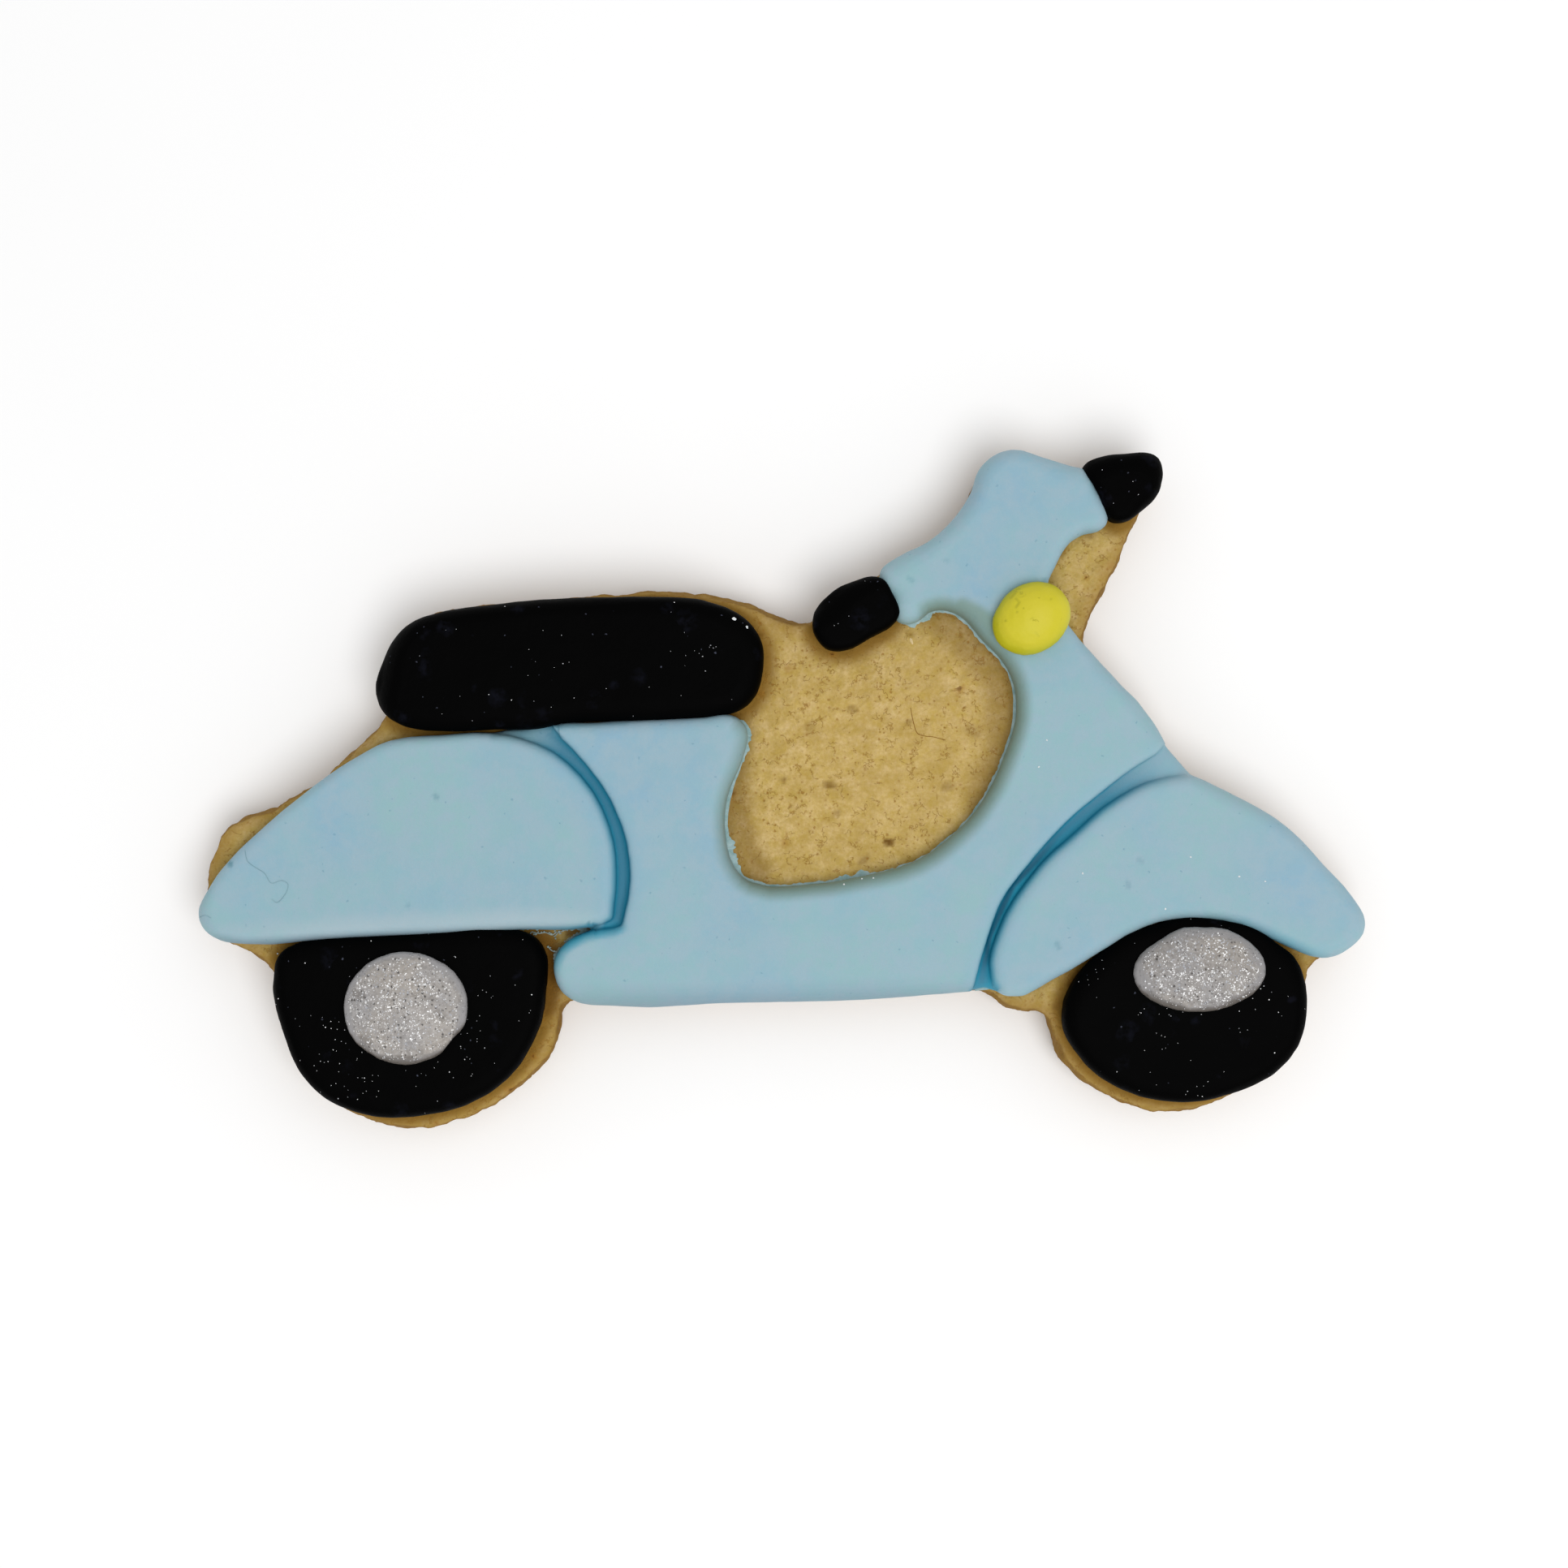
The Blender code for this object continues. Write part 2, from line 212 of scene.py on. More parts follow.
class EffectGroups:
    """The shader node groups that the finishes share."""

    def __init__(self) -> None:
        """Builds each group once."""
        self.specks = self._specks()
        self.cracks = self._cracks()
        self.grain = self._grain()
        self.mottle = self._mottle()

    @staticmethod
    def _start(name: str, inputs: dict[str, float],
               outputs: Sequence[str]) -> tuple[Bench, bpy.types.Node, bpy.types.Node]:
        """Starts a group.

        Args:
            name: The group's name.
            inputs: Its number inputs and their defaults, after the Vector that each group has.
            outputs: Its number outputs.

        Returns:
            The bench to build on, the group's input node and its output node.
        """
        tree = bpy.data.node_groups.new(name, "ShaderNodeTree")
        tree.interface.new_socket("Vector", in_out="INPUT", socket_type="NodeSocketVector")
        for label, default in inputs.items():
            socket = tree.interface.new_socket(label, in_out="INPUT", socket_type="NodeSocketFloat")
            socket.default_value = default
        for label in outputs:
            tree.interface.new_socket(label, in_out="OUTPUT", socket_type="NodeSocketFloat")
        start = tree.nodes.new("NodeGroupInput")
        end = tree.nodes.new("NodeGroupOutput")
        return Bench(tree), start, end

    @staticmethod
    def _wobble(bench: Bench, vector: object, scale: object, reach: object) -> Socket:
        """Shifts the places about, so that cells lose their straight outlines.

        Args:
            bench: The bench to build on.
            vector: The socket of the place.
            scale: The socket of the wobble's scale.
            reach: The socket of how far a place shifts.

        Returns:
            The shifted place's socket.
        """
        cloud = bench.node("ShaderNodeTexNoise", {"Vector": vector, "Scale": scale, "Detail": 2.0})
        centred = bench.node("ShaderNodeVectorMath", {0: cloud.outputs["Color"], 1: (0.5, 0.5, 0.5)},
                             operation="SUBTRACT")
        shift = bench.node("ShaderNodeVectorMath", {0: centred.outputs[0]}, operation="SCALE")
        bench.tree.links.new(reach, shift.inputs["Scale"])
        moved = bench.node("ShaderNodeVectorMath", {0: vector, 1: shift.outputs[0]}, operation="ADD")
        return moved.outputs[0]

    def _specks(self) -> bpy.types.NodeTree:
        """Small separate spots: Share is the part of the cells that hold one."""
        bench, start, end = self._start(
            "scattered specks", {"Scale": 1000.0, "Size": 0.2, "Share": 0.3}, ["Mask"])
        reach = bench.math("DIVIDE", 0.5, start.outputs["Scale"])
        vector = self._wobble(bench, start.outputs["Vector"],
                              bench.product(start.outputs["Scale"], 2.5), reach)
        cells = bench.node("ShaderNodeTexVoronoi", {"Vector": vector, "Scale": start.outputs["Scale"]})
        chance = bench.node("ShaderNodeSeparateColor", {0: cells.outputs["Color"]})
        radius = bench.product(start.outputs["Size"], bench.sum(chance.outputs[1], 0.3))
        inside = bench.node("ShaderNodeMapRange", {
            "Value": cells.outputs["Distance"], "From Min": radius,
            "From Max": bench.product(radius, 0.35), "To Min": 0.0, "To Max": 1.0})
        chosen = bench.math("LESS_THAN", chance.outputs[0], start.outputs["Share"])
        mask = bench.product(inside.outputs["Result"], chosen)
        bench.tree.links.new(mask, end.inputs["Mask"])
        return bench.tree

    def _cracks(self) -> bpy.types.NodeTree:
        """Fine broken lines: Share is the part of their length that shows."""
        bench, start, end = self._start(
            "hairline cracks", {"Scale": 400.0, "Width": 0.03, "Share": 0.3}, ["Mask"])
        cloud = bench.node("ShaderNodeTexNoise", {
            "Vector": start.outputs["Vector"], "Scale": start.outputs["Scale"], "Detail": 4.0,
            "Roughness": 0.62})
        away = bench.math("ABSOLUTE", bench.math("SUBTRACT", cloud.outputs[0], 0.5), 0.0)
        line = bench.node("ShaderNodeMapRange", {
            "Value": away, "From Min": start.outputs["Width"], "From Max": 0.0,
            "To Min": 0.0, "To Max": 1.0})
        patches = bench.node("ShaderNodeTexNoise", {
            "Vector": start.outputs["Vector"],
            "Scale": bench.product(start.outputs["Scale"], 1.7), "Detail": 1.0})
        edge = bench.math("SUBTRACT", 1.0, start.outputs["Share"])
        shown = bench.node("ShaderNodeMapRange", {
            "Value": patches.outputs[0], "From Min": edge, "From Max": bench.sum(edge, 0.06)})
        mask = bench.product(line.outputs["Result"], shown.outputs["Result"])
        bench.tree.links.new(mask, end.inputs["Mask"])
        return bench.tree

    def _grain(self) -> bpy.types.NodeTree:
        """Fine unevenness of a surface, as a height from 0 to 1."""
        bench, start, end = self._start(
            "surface grain", {"Scale": 2000.0, "Coarse": 0.5}, ["Height"])
        fine = bench.node("ShaderNodeTexNoise", {
            "Vector": start.outputs["Vector"], "Scale": start.outputs["Scale"], "Detail": 3.0})
        broad = bench.node("ShaderNodeTexNoise", {
            "Vector": start.outputs["Vector"],
            "Scale": bench.product(start.outputs["Scale"], 0.22), "Detail": 2.0})
        height = bench.sum(fine.outputs[0], bench.product(broad.outputs[0], start.outputs["Coarse"]))
        bench.tree.links.new(height, end.inputs["Height"])
        return bench.tree

    def _mottle(self) -> bpy.types.NodeTree:
        """Soft patches from 0 to 1, with Contrast from faint to hard edged."""
        bench, start, end = self._start(
            "soft mottling", {"Scale": 200.0, "Contrast": 0.2, "Roughness": 0.5}, ["Mask"])
        cloud = bench.node("ShaderNodeTexNoise", {
            "Vector": start.outputs["Vector"], "Scale": start.outputs["Scale"], "Detail": 4.0,
            "Roughness": start.outputs["Roughness"]})
        reach = bench.math("SUBTRACT", 0.5, bench.product(start.outputs["Contrast"], 0.45))
        mask = bench.node("ShaderNodeMapRange", {
            "Value": cloud.outputs[0], "From Min": bench.math("SUBTRACT", 0.5, reach),
            "From Max": bench.sum(0.5, reach)})
        bench.tree.links.new(mask.outputs["Result"], end.inputs["Mask"])
        return bench.tree


@dataclass(frozen=True)
class Gloss:
    """How a surface shines, the same all over it."""

    roughness: float
    specular: float
    softness: float = 0.0
    soft_depth: Colour = (1.0, 1.0, 1.0, 1.0)


class Finish:
    """A material that is being made."""

    def __init__(self, name: str, gloss: Gloss) -> None:
        """Starts a material with a plain shader.

        Args:
            name: The material's name.
            gloss: How it shines.
        """
        self.material = bpy.data.materials.new(name)
        self.material.use_nodes = True
        self.bench = Bench(self.material.node_tree)
        self.shader = self.material.node_tree.nodes["Principled BSDF"]
        self.shader.inputs["Roughness"].default_value = gloss.roughness
        self.shader.inputs["Specular IOR Level"].default_value = gloss.specular
        if gloss.softness:
            self.shader.inputs["Subsurface Weight"].default_value = gloss.softness
            self.shader.inputs["Subsurface Radius"].default_value = gloss.soft_depth[:3]
            self.shader.inputs["Subsurface Scale"].default_value = MM

    def feed(self, label: str, socket: Socket) -> None:
        """Wires a socket to one of the shader's inputs."""
        self.bench.tree.links.new(socket, self.shader.inputs[label])

    def emboss(self, height: Socket, depth: float) -> None:
        """Presses a height into the surface.

        Args:
            height: The socket of the height, from 0 to 1.
            depth: How deep 1 is, in millimetres.
        """
        bump = self.bench.node("ShaderNodeBump", {"Strength": 1.0, "Distance": depth * MM,
                                                  "Height": height})
        self.feed("Normal", bump.outputs["Normal"])


@dataclass(frozen=True)
class BlueFondant:
    """Rolled pale blue fondant: matt, a little patchy, and deep teal where light is shut in."""

    face: Colour = screen(142, 176, 190)
    cool_patch: Colour = screen(138, 174, 195)
    green_patch: Colour = screen(146, 184, 185)
    dusty_patch: Colour = screen(152, 178, 191)
    pale_edge_highlight: Colour = screen(170, 188, 195)
    lower_edge_shade: Colour = screen(106, 124, 138)
    slate: Colour = screen(54, 126, 152)
    teal: Colour = screen(22, 150, 178)
    deep_teal: Colour = screen(0, 86, 112)
    wall: Colour = screen(122, 148, 138)
    halo: Colour = screen(126, 172, 196)
    dye_speck: Colour = screen(104, 146, 166)
    smudge_and_shadow: Colour = screen(84, 134, 150)

    def material(self, groups: EffectGroups) -> bpy.types.Material:
        """Makes the material.

        Args:
            groups: The shared effects.

        Returns:
            The finished material.
        """
        finish = Finish("blue fondant", Gloss(0.62, 0.25, softness=0.12,
                                              soft_depth=(0.5, 0.8, 1.0, 1.0)))
        bench = finish.bench
        place = bench.place()
        cool = bench.group(groups.mottle, {"Vector": place, "Scale": 120.0, "Contrast": 0.85})
        green = bench.group(groups.mottle, {"Vector": place, "Scale": 75.0, "Contrast": 0.85})
        colour = bench.mix(bench.product(cool.outputs["Mask"], 0.75), self.face, self.cool_patch)
        colour = bench.mix(bench.product(green.outputs["Mask"], 0.65), colour, self.green_patch)
        dusty = bench.group(groups.mottle, {"Vector": place, "Scale": 420.0, "Contrast": 0.9,
                                            "Roughness": 0.7})
        colour = bench.mix(bench.product(dusty.outputs["Mask"], 0.7), colour, self.dusty_patch)
        specks = bench.group(groups.specks, {"Vector": place, "Scale": 900.0, "Size": 0.12,
                                             "Share": 0.5})
        colour = bench.mix(bench.product(specks.outputs["Mask"], 0.6), colour, self.dye_speck)
        # Painted highlight: the icing's outer edges and the rear panel's rim are paler.
        colour = bench.mix(bench.product(bench.attribute("rim"), 0.75), colour, self.pale_edge_highlight)
        # Painted shade: the icing beside the grooves is a little darker and bluer.
        colour = bench.mix(bench.attribute("halo"), colour, self.halo)
        # Smudges, and painted shadow along the seat's lower edge and in the step below the rear panel.
        colour = bench.mix(bench.attribute("smudge_and_shadow"), colour, self.smudge_and_shadow)
        # Painted shade in the grooves: slate on their floors, teal on their sides and deep teal in their
        # creases, standing in for shut-in light and its teal bounce.
        colour = bench.mix(bench.attribute("hollow"), colour, self.slate)
        colour = bench.mix(bench.attribute("teal_shade"), colour, self.teal)
        colour = bench.mix(bench.attribute("crease"), colour, self.deep_teal)
        colour = bench.mix(bench.attribute("shade"), colour, self.wall)
        # Painted shade along the lower edges of the body and the rear panel.
        colour = bench.mix(bench.attribute("lower_edge_shade"), colour, self.lower_edge_shade)
        finish.feed("Base Color", colour)
        grain = bench.group(groups.grain, {"Vector": place, "Scale": 3200.0, "Coarse": 1.2})
        finish.emboss(grain.outputs["Height"], 0.028)
        return finish.material


@dataclass(frozen=True)
class TornFondant:
    """The thin torn film at the foot of the blue fondant, paler than its face."""

    film: Colour = screen(168, 196, 200)
    damp: Colour = screen(130, 166, 168)

    def material(self, groups: EffectGroups) -> bpy.types.Material:
        """Makes the material.

        Args:
            groups: The shared effects.

        Returns:
            The finished material.
        """
        finish = Finish("torn blue fondant", Gloss(0.6, 0.3, softness=0.2,
                                                   soft_depth=(0.5, 0.8, 1.0, 1.0)))
        bench = finish.bench
        place = bench.place()
        patches = bench.group(groups.mottle, {"Vector": place, "Scale": 1300.0, "Contrast": 0.7})
        finish.feed("Base Color", bench.mix(patches.outputs["Mask"], self.film, self.damp))
        grain = bench.group(groups.grain, {"Vector": place, "Scale": 5200.0, "Coarse": 0.8})
        finish.emboss(grain.outputs["Height"], 0.03)
        return finish.material


@dataclass(frozen=True)
class BlackFondant:
    """Black fondant: nearly matt, with faint bluish clouds and dust of fine glitter."""

    face: Colour = screen(2, 2, 2)
    cloud: Colour = screen(12, 13, 20)
    dust: Colour = screen(96, 100, 118)

    def material(self, groups: EffectGroups) -> bpy.types.Material:
        """Makes the material.

        Args:
            groups: The shared effects.

        Returns:
            The finished material.
        """
        finish = Finish("black fondant", Gloss(0.6, 0.02))
        bench = finish.bench
        place = bench.place()
        clouds = bench.group(groups.specks, {"Vector": place, "Scale": 420.0, "Size": 0.45,
                                             "Share": 0.35})
        scuff = bench.group(groups.mottle, {"Vector": place, "Scale": 1500.0, "Contrast": 0.8})
        cloudy = bench.product(clouds.outputs["Mask"], scuff.outputs["Mask"])
        colour = bench.mix(cloudy, self.face, self.cloud)
        dust = bench.group(groups.specks, {"Vector": place, "Scale": 1500.0, "Size": 0.14,
                                           "Share": 0.10})
        colour = bench.mix(bench.product(dust.outputs["Mask"], 0.55), colour, self.dust)
        finish.feed("Base Color", colour)
        grain = bench.group(groups.grain, {"Vector": place, "Scale": 2600.0, "Coarse": 1.5})
        finish.emboss(grain.outputs["Height"], 0.03)
        return finish.material


@dataclass(frozen=True)
class BakedDough:
    """Golden baked dough: matt crumb with brown flecks, hairline cracks, a browner edge, and painted
    shade next to the icing, in narrow gaps and along the opening.
    """

    pale: Colour = screen(215, 188, 134)
    golden: Colour = screen(193, 165, 88)
    tan: Colour = screen(170, 138, 66)
    olive: Colour = screen(164, 134, 62)
    rim: Colour = screen(138, 103, 38)
    fleck: Colour = screen(146, 101, 30)
    scorch: Colour = screen(152, 102, 26)
    burnt: Colour = screen(92, 54, 8)
    scorch_and_shade_brown: Colour = screen(96, 58, 0)

    def material(self, groups: EffectGroups) -> bpy.types.Material:
        """Makes the material.

        Args:
            groups: The shared effects.

        Returns:
            The finished material.
        """
        finish = Finish("baked dough", Gloss(0.85, 0.2, softness=0.05,
                                             soft_depth=(1.0, 0.6, 0.3, 1.0)))
        bench = finish.bench
        place = bench.place()
        broad = bench.group(groups.mottle, {"Vector": place, "Scale": 150.0, "Contrast": 0.7})
        patches = bench.group(groups.mottle, {"Vector": place, "Scale": 900.0, "Contrast": 0.75,
                                              "Roughness": 0.7})
        crumb = bench.group(groups.mottle, {"Vector": place, "Scale": 3400.0, "Contrast": 0.75,
                                            "Roughness": 0.6})
        colour = bench.mix(patches.outputs["Mask"], self.pale, self.golden)
        colour = bench.mix(bench.product(broad.outputs["Mask"], 0.30), colour, self.golden)
        colour = bench.mix(bench.product(crumb.outputs["Mask"], 0.42), colour, self.tan)
        blotch = bench.group(groups.mottle, {"Vector": place, "Scale": 430.0, "Contrast": 0.85,
                                             "Roughness": 0.65})
        colour = bench.mix(bench.product(blotch.outputs["Mask"], 0.40), colour, self.olive)
        # Browner edge and sides from baking, with painted shade next to the icing and the tyres.
        colour = bench.mix(bench.attribute("browning_and_shade"), colour, self.rim)
        # Painted shade in the narrow gaps and along the opening's sides, and a few scorched spots.
        colour = bench.mix(bench.attribute("scorch_and_shade"), colour, self.scorch_and_shade_brown)
        flecks = bench.group(groups.specks, {"Vector": place, "Scale": 2600.0, "Size": 0.40,
                                             "Share": 0.30})
        freckled = bench.group(groups.mottle, {"Vector": place, "Scale": 330.0, "Contrast": 0.9})
        fleck_mask = bench.product(flecks.outputs["Mask"],
                                   bench.sum(freckled.outputs["Mask"], 0.15))
        colour = bench.mix(bench.product(fleck_mask, 0.62), colour, self.fleck)
        halo = bench.group(groups.specks, {"Vector": place, "Scale": 400.0, "Size": 0.28,
                                           "Share": 0.30})
        colour = bench.mix(bench.product(halo.outputs["Mask"], 0.42), colour, self.scorch)
        spots = bench.group(groups.specks, {"Vector": place, "Scale": 400.0, "Size": 0.11,
                                            "Share": 0.30})
        colour = bench.mix(bench.product(spots.outputs["Mask"], 0.8), colour, self.burnt)
        cracks = bench.group(groups.cracks, {"Vector": place, "Scale": 560.0, "Width": 0.018,
                                             "Share": 0.50})
        colour = bench.mix(bench.product(cracks.outputs["Mask"], 0.7), colour, self.fleck)
        finish.feed("Base Color", colour)
        grain = bench.group(groups.grain, {"Vector": place, "Scale": 2600.0, "Coarse": 1.6})
        dents = bench.sum(cracks.outputs["Mask"], bench.sum(fleck_mask, spots.outputs["Mask"]))
        height = bench.math("SUBTRACT", grain.outputs["Height"], bench.product(dents, 0.3))
        finish.emboss(height, 0.10)
        return finish.material


@dataclass(frozen=True)
class GlitteredFondant:
    """Grey fondant rolled in fine silver glitter."""

    paste: Colour = screen(138, 135, 134)
    pale: Colour = screen(177, 174, 173)
    warm: Colour = screen(180, 168, 150)
    rim: Colour = screen(154, 152, 153)
    sparkle: Colour = screen(244, 242, 239)
    shadow: Colour = screen(68, 65, 63)
    dirt_and_low_darkening: Colour = screen(94, 87, 80)

    def material(self, groups: EffectGroups) -> bpy.types.Material:
        """Makes the material.

        Args:
            groups: The shared effects.

        Returns:
            The finished material.
        """
        finish = Finish("glittered fondant", Gloss(0.45, 0.4))
        bench = finish.bench
        place = bench.place()
        crown = bench.attribute("crown")
        lumps = bench.group(groups.mottle, {"Vector": place, "Scale": 2600.0, "Contrast": 0.75})
        colour = bench.mix(bench.product(lumps.outputs["Mask"], 0.7), self.paste, self.pale)
        tint = bench.group(groups.mottle, {"Vector": place, "Scale": 210.0, "Contrast": 0.85})
        colour = bench.mix(bench.product(tint.outputs["Mask"], 0.30), colour, self.warm)
        colour = bench.mix(crown, self.rim, colour)
        holes = bench.group(groups.specks, {"Vector": place, "Scale": 3000.0, "Size": 0.46,
                                            "Share": 0.42})
        colour = bench.mix(bench.product(holes.outputs["Mask"], bench.sum(crown, 0.10)),
                           colour, self.shadow)
        dirt_and_low_darkening = bench.attribute("dirt_and_low_darkening")
        # Dirty spots, and darker towards the rim's lower side.
        colour = bench.mix(dirt_and_low_darkening, colour, self.dirt_and_low_darkening)
        # The glitter grains: their pale silver is painted near white as glints.
        grains = bench.group(groups.specks, {"Vector": place, "Scale": 3300.0, "Size": 0.42,
                                             "Share": 0.42})
        bright = bench.product(grains.outputs["Mask"], bench.math("SUBTRACT", crown, dirt_and_low_darkening))
        colour = bench.mix(bright, colour, self.sparkle)
        finish.feed("Base Color", colour)
        grain = bench.group(groups.grain, {"Vector": place, "Scale": 4200.0, "Coarse": 0.6})
        finish.emboss(bench.sum(grain.outputs["Height"], grains.outputs["Mask"]), 0.06)
        return finish.material


@dataclass(frozen=True)
class LampFondant:
    """Lemon yellow fondant with a rim painted greener and darker as shade, and a few small creases."""

    face: Colour = screen(203, 193, 36)
    warm: Colour = screen(207, 195, 50)
    green: Colour = screen(190, 186, 22)
    crease: Colour = screen(150, 146, 22)

    def material(self, groups: EffectGroups) -> bpy.types.Material:
        """Makes the material.

        Args:
            groups: The shared effects.

        Returns:
            The finished material.
        """
        finish = Finish("lemon fondant", Gloss(0.5, 0.3, softness=0.1,
                                               soft_depth=(1.0, 0.9, 0.2, 1.0)))
        bench = finish.bench
        place = bench.place()
        patches = bench.group(groups.mottle, {"Vector": place, "Scale": 420.0, "Contrast": 0.5})
        colour = bench.mix(patches.outputs["Mask"], self.face, self.warm)
        # Painted shade on the dome's rim, greener and darker at its lower left.
        colour = bench.mix(bench.attribute("rim"), colour, self.green)
        creases = bench.group(groups.cracks, {"Vector": place, "Scale": 420.0, "Width": 0.008,
                                              "Share": 0.38})
        colour = bench.mix(bench.product(creases.outputs["Mask"], 0.7), colour, self.crease)
        dimples = bench.group(groups.specks, {"Vector": place, "Scale": 900.0, "Size": 0.14,
                                              "Share": 0.2})
        colour = bench.mix(bench.product(dimples.outputs["Mask"], 0.5), colour, self.crease)
        colour = bench.mix(bench.attribute("crease"), colour, self.crease)
        finish.feed("Base Color", colour)
        grain = bench.group(groups.grain, {"Vector": place, "Scale": 3000.0, "Coarse": 1.2})
        height = bench.math("SUBTRACT", grain.outputs["Height"], creases.outputs["Mask"])
        finish.emboss(height, 0.03)
        return finish.material


@dataclass(frozen=True)
class GlitterFilm:
    """A loose flake of silver glitter."""

    bright: Colour = screen(255, 255, 255)
    dull: Colour = screen(176, 178, 184)

    def material(self, groups: EffectGroups) -> bpy.types.Material:
        """Makes the material.

        Args:
            groups: The shared effects.

        Returns:
            The finished material.
        """
        finish = Finish("glitter film", Gloss(0.35, 0.6))
        bench = finish.bench
        patches = bench.group(groups.mottle, {"Vector": bench.place(), "Scale": 900.0,
                                              "Contrast": 0.9})
        finish.feed("Base Color", bench.mix(patches.outputs["Mask"], self.bright, self.dull))
        return finish.material


@dataclass(frozen=True)
class Scrap:
    """Something small that lies on the cookie, such as lint or a crumb: matt, in two tones."""

    name: str
    light: Colour
    dark: Colour

    def material(self, groups: EffectGroups) -> bpy.types.Material:
        """Makes the material.

        Args:
            groups: The shared effects.

        Returns:
            The finished material.
        """
        finish = Finish(self.name, Gloss(0.8, 0.2))
        bench = finish.bench
        patches = bench.group(groups.mottle, {"Vector": bench.place(), "Scale": 700.0,
                                              "Contrast": 0.7})
        finish.feed("Base Color", bench.mix(patches.outputs["Mask"], self.light, self.dark))
        return finish.material


@dataclass(frozen=True)
class Ripple:
    """One layer of unevenness, with its wavelength and height in millimetres."""

    wavelength: float
    height: float
    seed: float
    octaves: int = 2
    bias: float = 0.0

    def at(self, place: Vector) -> float:
        """The height at a place, in metres.

        Args:
            place: The place, in metres.

        Returns:
            How far the surface rises there.
        """
        shifted = place / (self.wavelength * MM) + Vector((self.seed, -self.seed, 2 * self.seed))
        return self.height * MM * (noise.fractal(shifted, 1.0, 2.0, self.octaves) + self.bias)


@dataclass(frozen=True)
class Pull:
    """A place where the dough was pushed about, with its radius and shift in millimetres."""

    x: float
    y: float
    radius: float
    east: float
    north: float


@dataclass(frozen=True)
class Stroke:
    """A mark on a surface: a line through a few of the photograph's pixels.

    Its reach is half its width, in pixels, and its strength goes from 0 to 1.
    """

    pixels: tuple[Point, ...]
    reach: float
    strength: float = 1.0

    def share(self, seen: Point) -> float:
        """How strong the mark is at a pixel.

        Args:
            seen: The pixel that shows the place.

        Returns:
            Its strength there, which fades to 0 at the reach.
        """
        best = math.inf
        for first, second in zip(self.pixels, self.pixels[1:] or self.pixels):
            east, south = second[0] - first[0], second[1] - first[1]
            span = east * east + south * south
            along = 0.0
            if span > 0.0:
                along = ((seen[0] - first[0]) * east + (seen[1] - first[1]) * south) / span
                along = min(max(along, 0.0), 1.0)
            best = min(best, math.hypot(seen[0] - first[0] - along * east,
                                        seen[1] - first[1] - along * south))
        return self.strength * (1 - smooth_step(0.3, 1.0, best / self.reach))


class BiscuitEdge:
    """Knows where the biscuit ends under the icing."""

    def __init__(self, biscuit: bpy.types.Object, rounding: float) -> None:
        """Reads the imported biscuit.

        Args:
            biscuit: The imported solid.
            rounding: The radius of its top edge, in millimetres.
        """
        mesh = biscuit.data
        self.tree = BVHTree.FromPolygons([v.co.copy() for v in mesh.vertices],
                                         [tuple(p.vertices) for p in mesh.polygons])
        self.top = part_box(biscuit.name)[1].z
        self.rounding = rounding * MM

    def overhang(self, place: Vector) -> float:
        """How far a place lies outside the flat top of the biscuit, in metres.

        Args:
            place: The place, whose height doesn't matter.

        Returns:
            0 over the flat top, and the distance from it outside.
        """
        start = Vector((place.x, place.y, self.top + MM))
        hit = self.tree.ray_cast(start, DOWN)[0]
        if hit is not None and hit.z > self.top - self.rounding:
            drop = self.top - hit.z
            return math.sqrt(max(2 * self.rounding * drop - drop * drop, 0.0))
        middle = Vector((place.x, place.y, self.top / 2))
        nearest = self.tree.find_nearest(middle)[0]
        return self.rounding + (nearest - middle).length


@dataclass(frozen=True)
class WallSpot:
    """The nearest place on a piece's upright sides."""

    place: Vector
    outward: Vector
    away: float


class Walls:
    """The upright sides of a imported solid, which show how near a place is to its outline."""

    def __init__(self, node: bpy.types.Object, level: float) -> None:
        """Reads the sides.

        Args:
            node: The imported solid.
            level: The height at which distances are taken, in metres.
        """
        mesh = node.data
        self.level = level
        self.tree = BVHTree.FromPolygons([v.co.copy() for v in mesh.vertices],
                                         [tuple(p.vertices) for p in mesh.polygons
                                          if abs(p.normal.z) < 0.5])

    def nearest(self, place: Vector) -> WallSpot:
        """Finds the nearest place on the sides.

        Args:
            place: The place to start from, whose height doesn't matter.

        Returns:
            The nearest place, the way out of the piece there, and how far it is in millimetres.
        """
        flat = Vector((place.x, place.y, self.level))
        spot, normal, _, away = self.tree.find_nearest(flat)
        outward = Vector((normal.x, normal.y, 0.0)).normalized()
        return WallSpot(spot, outward, away / MM)


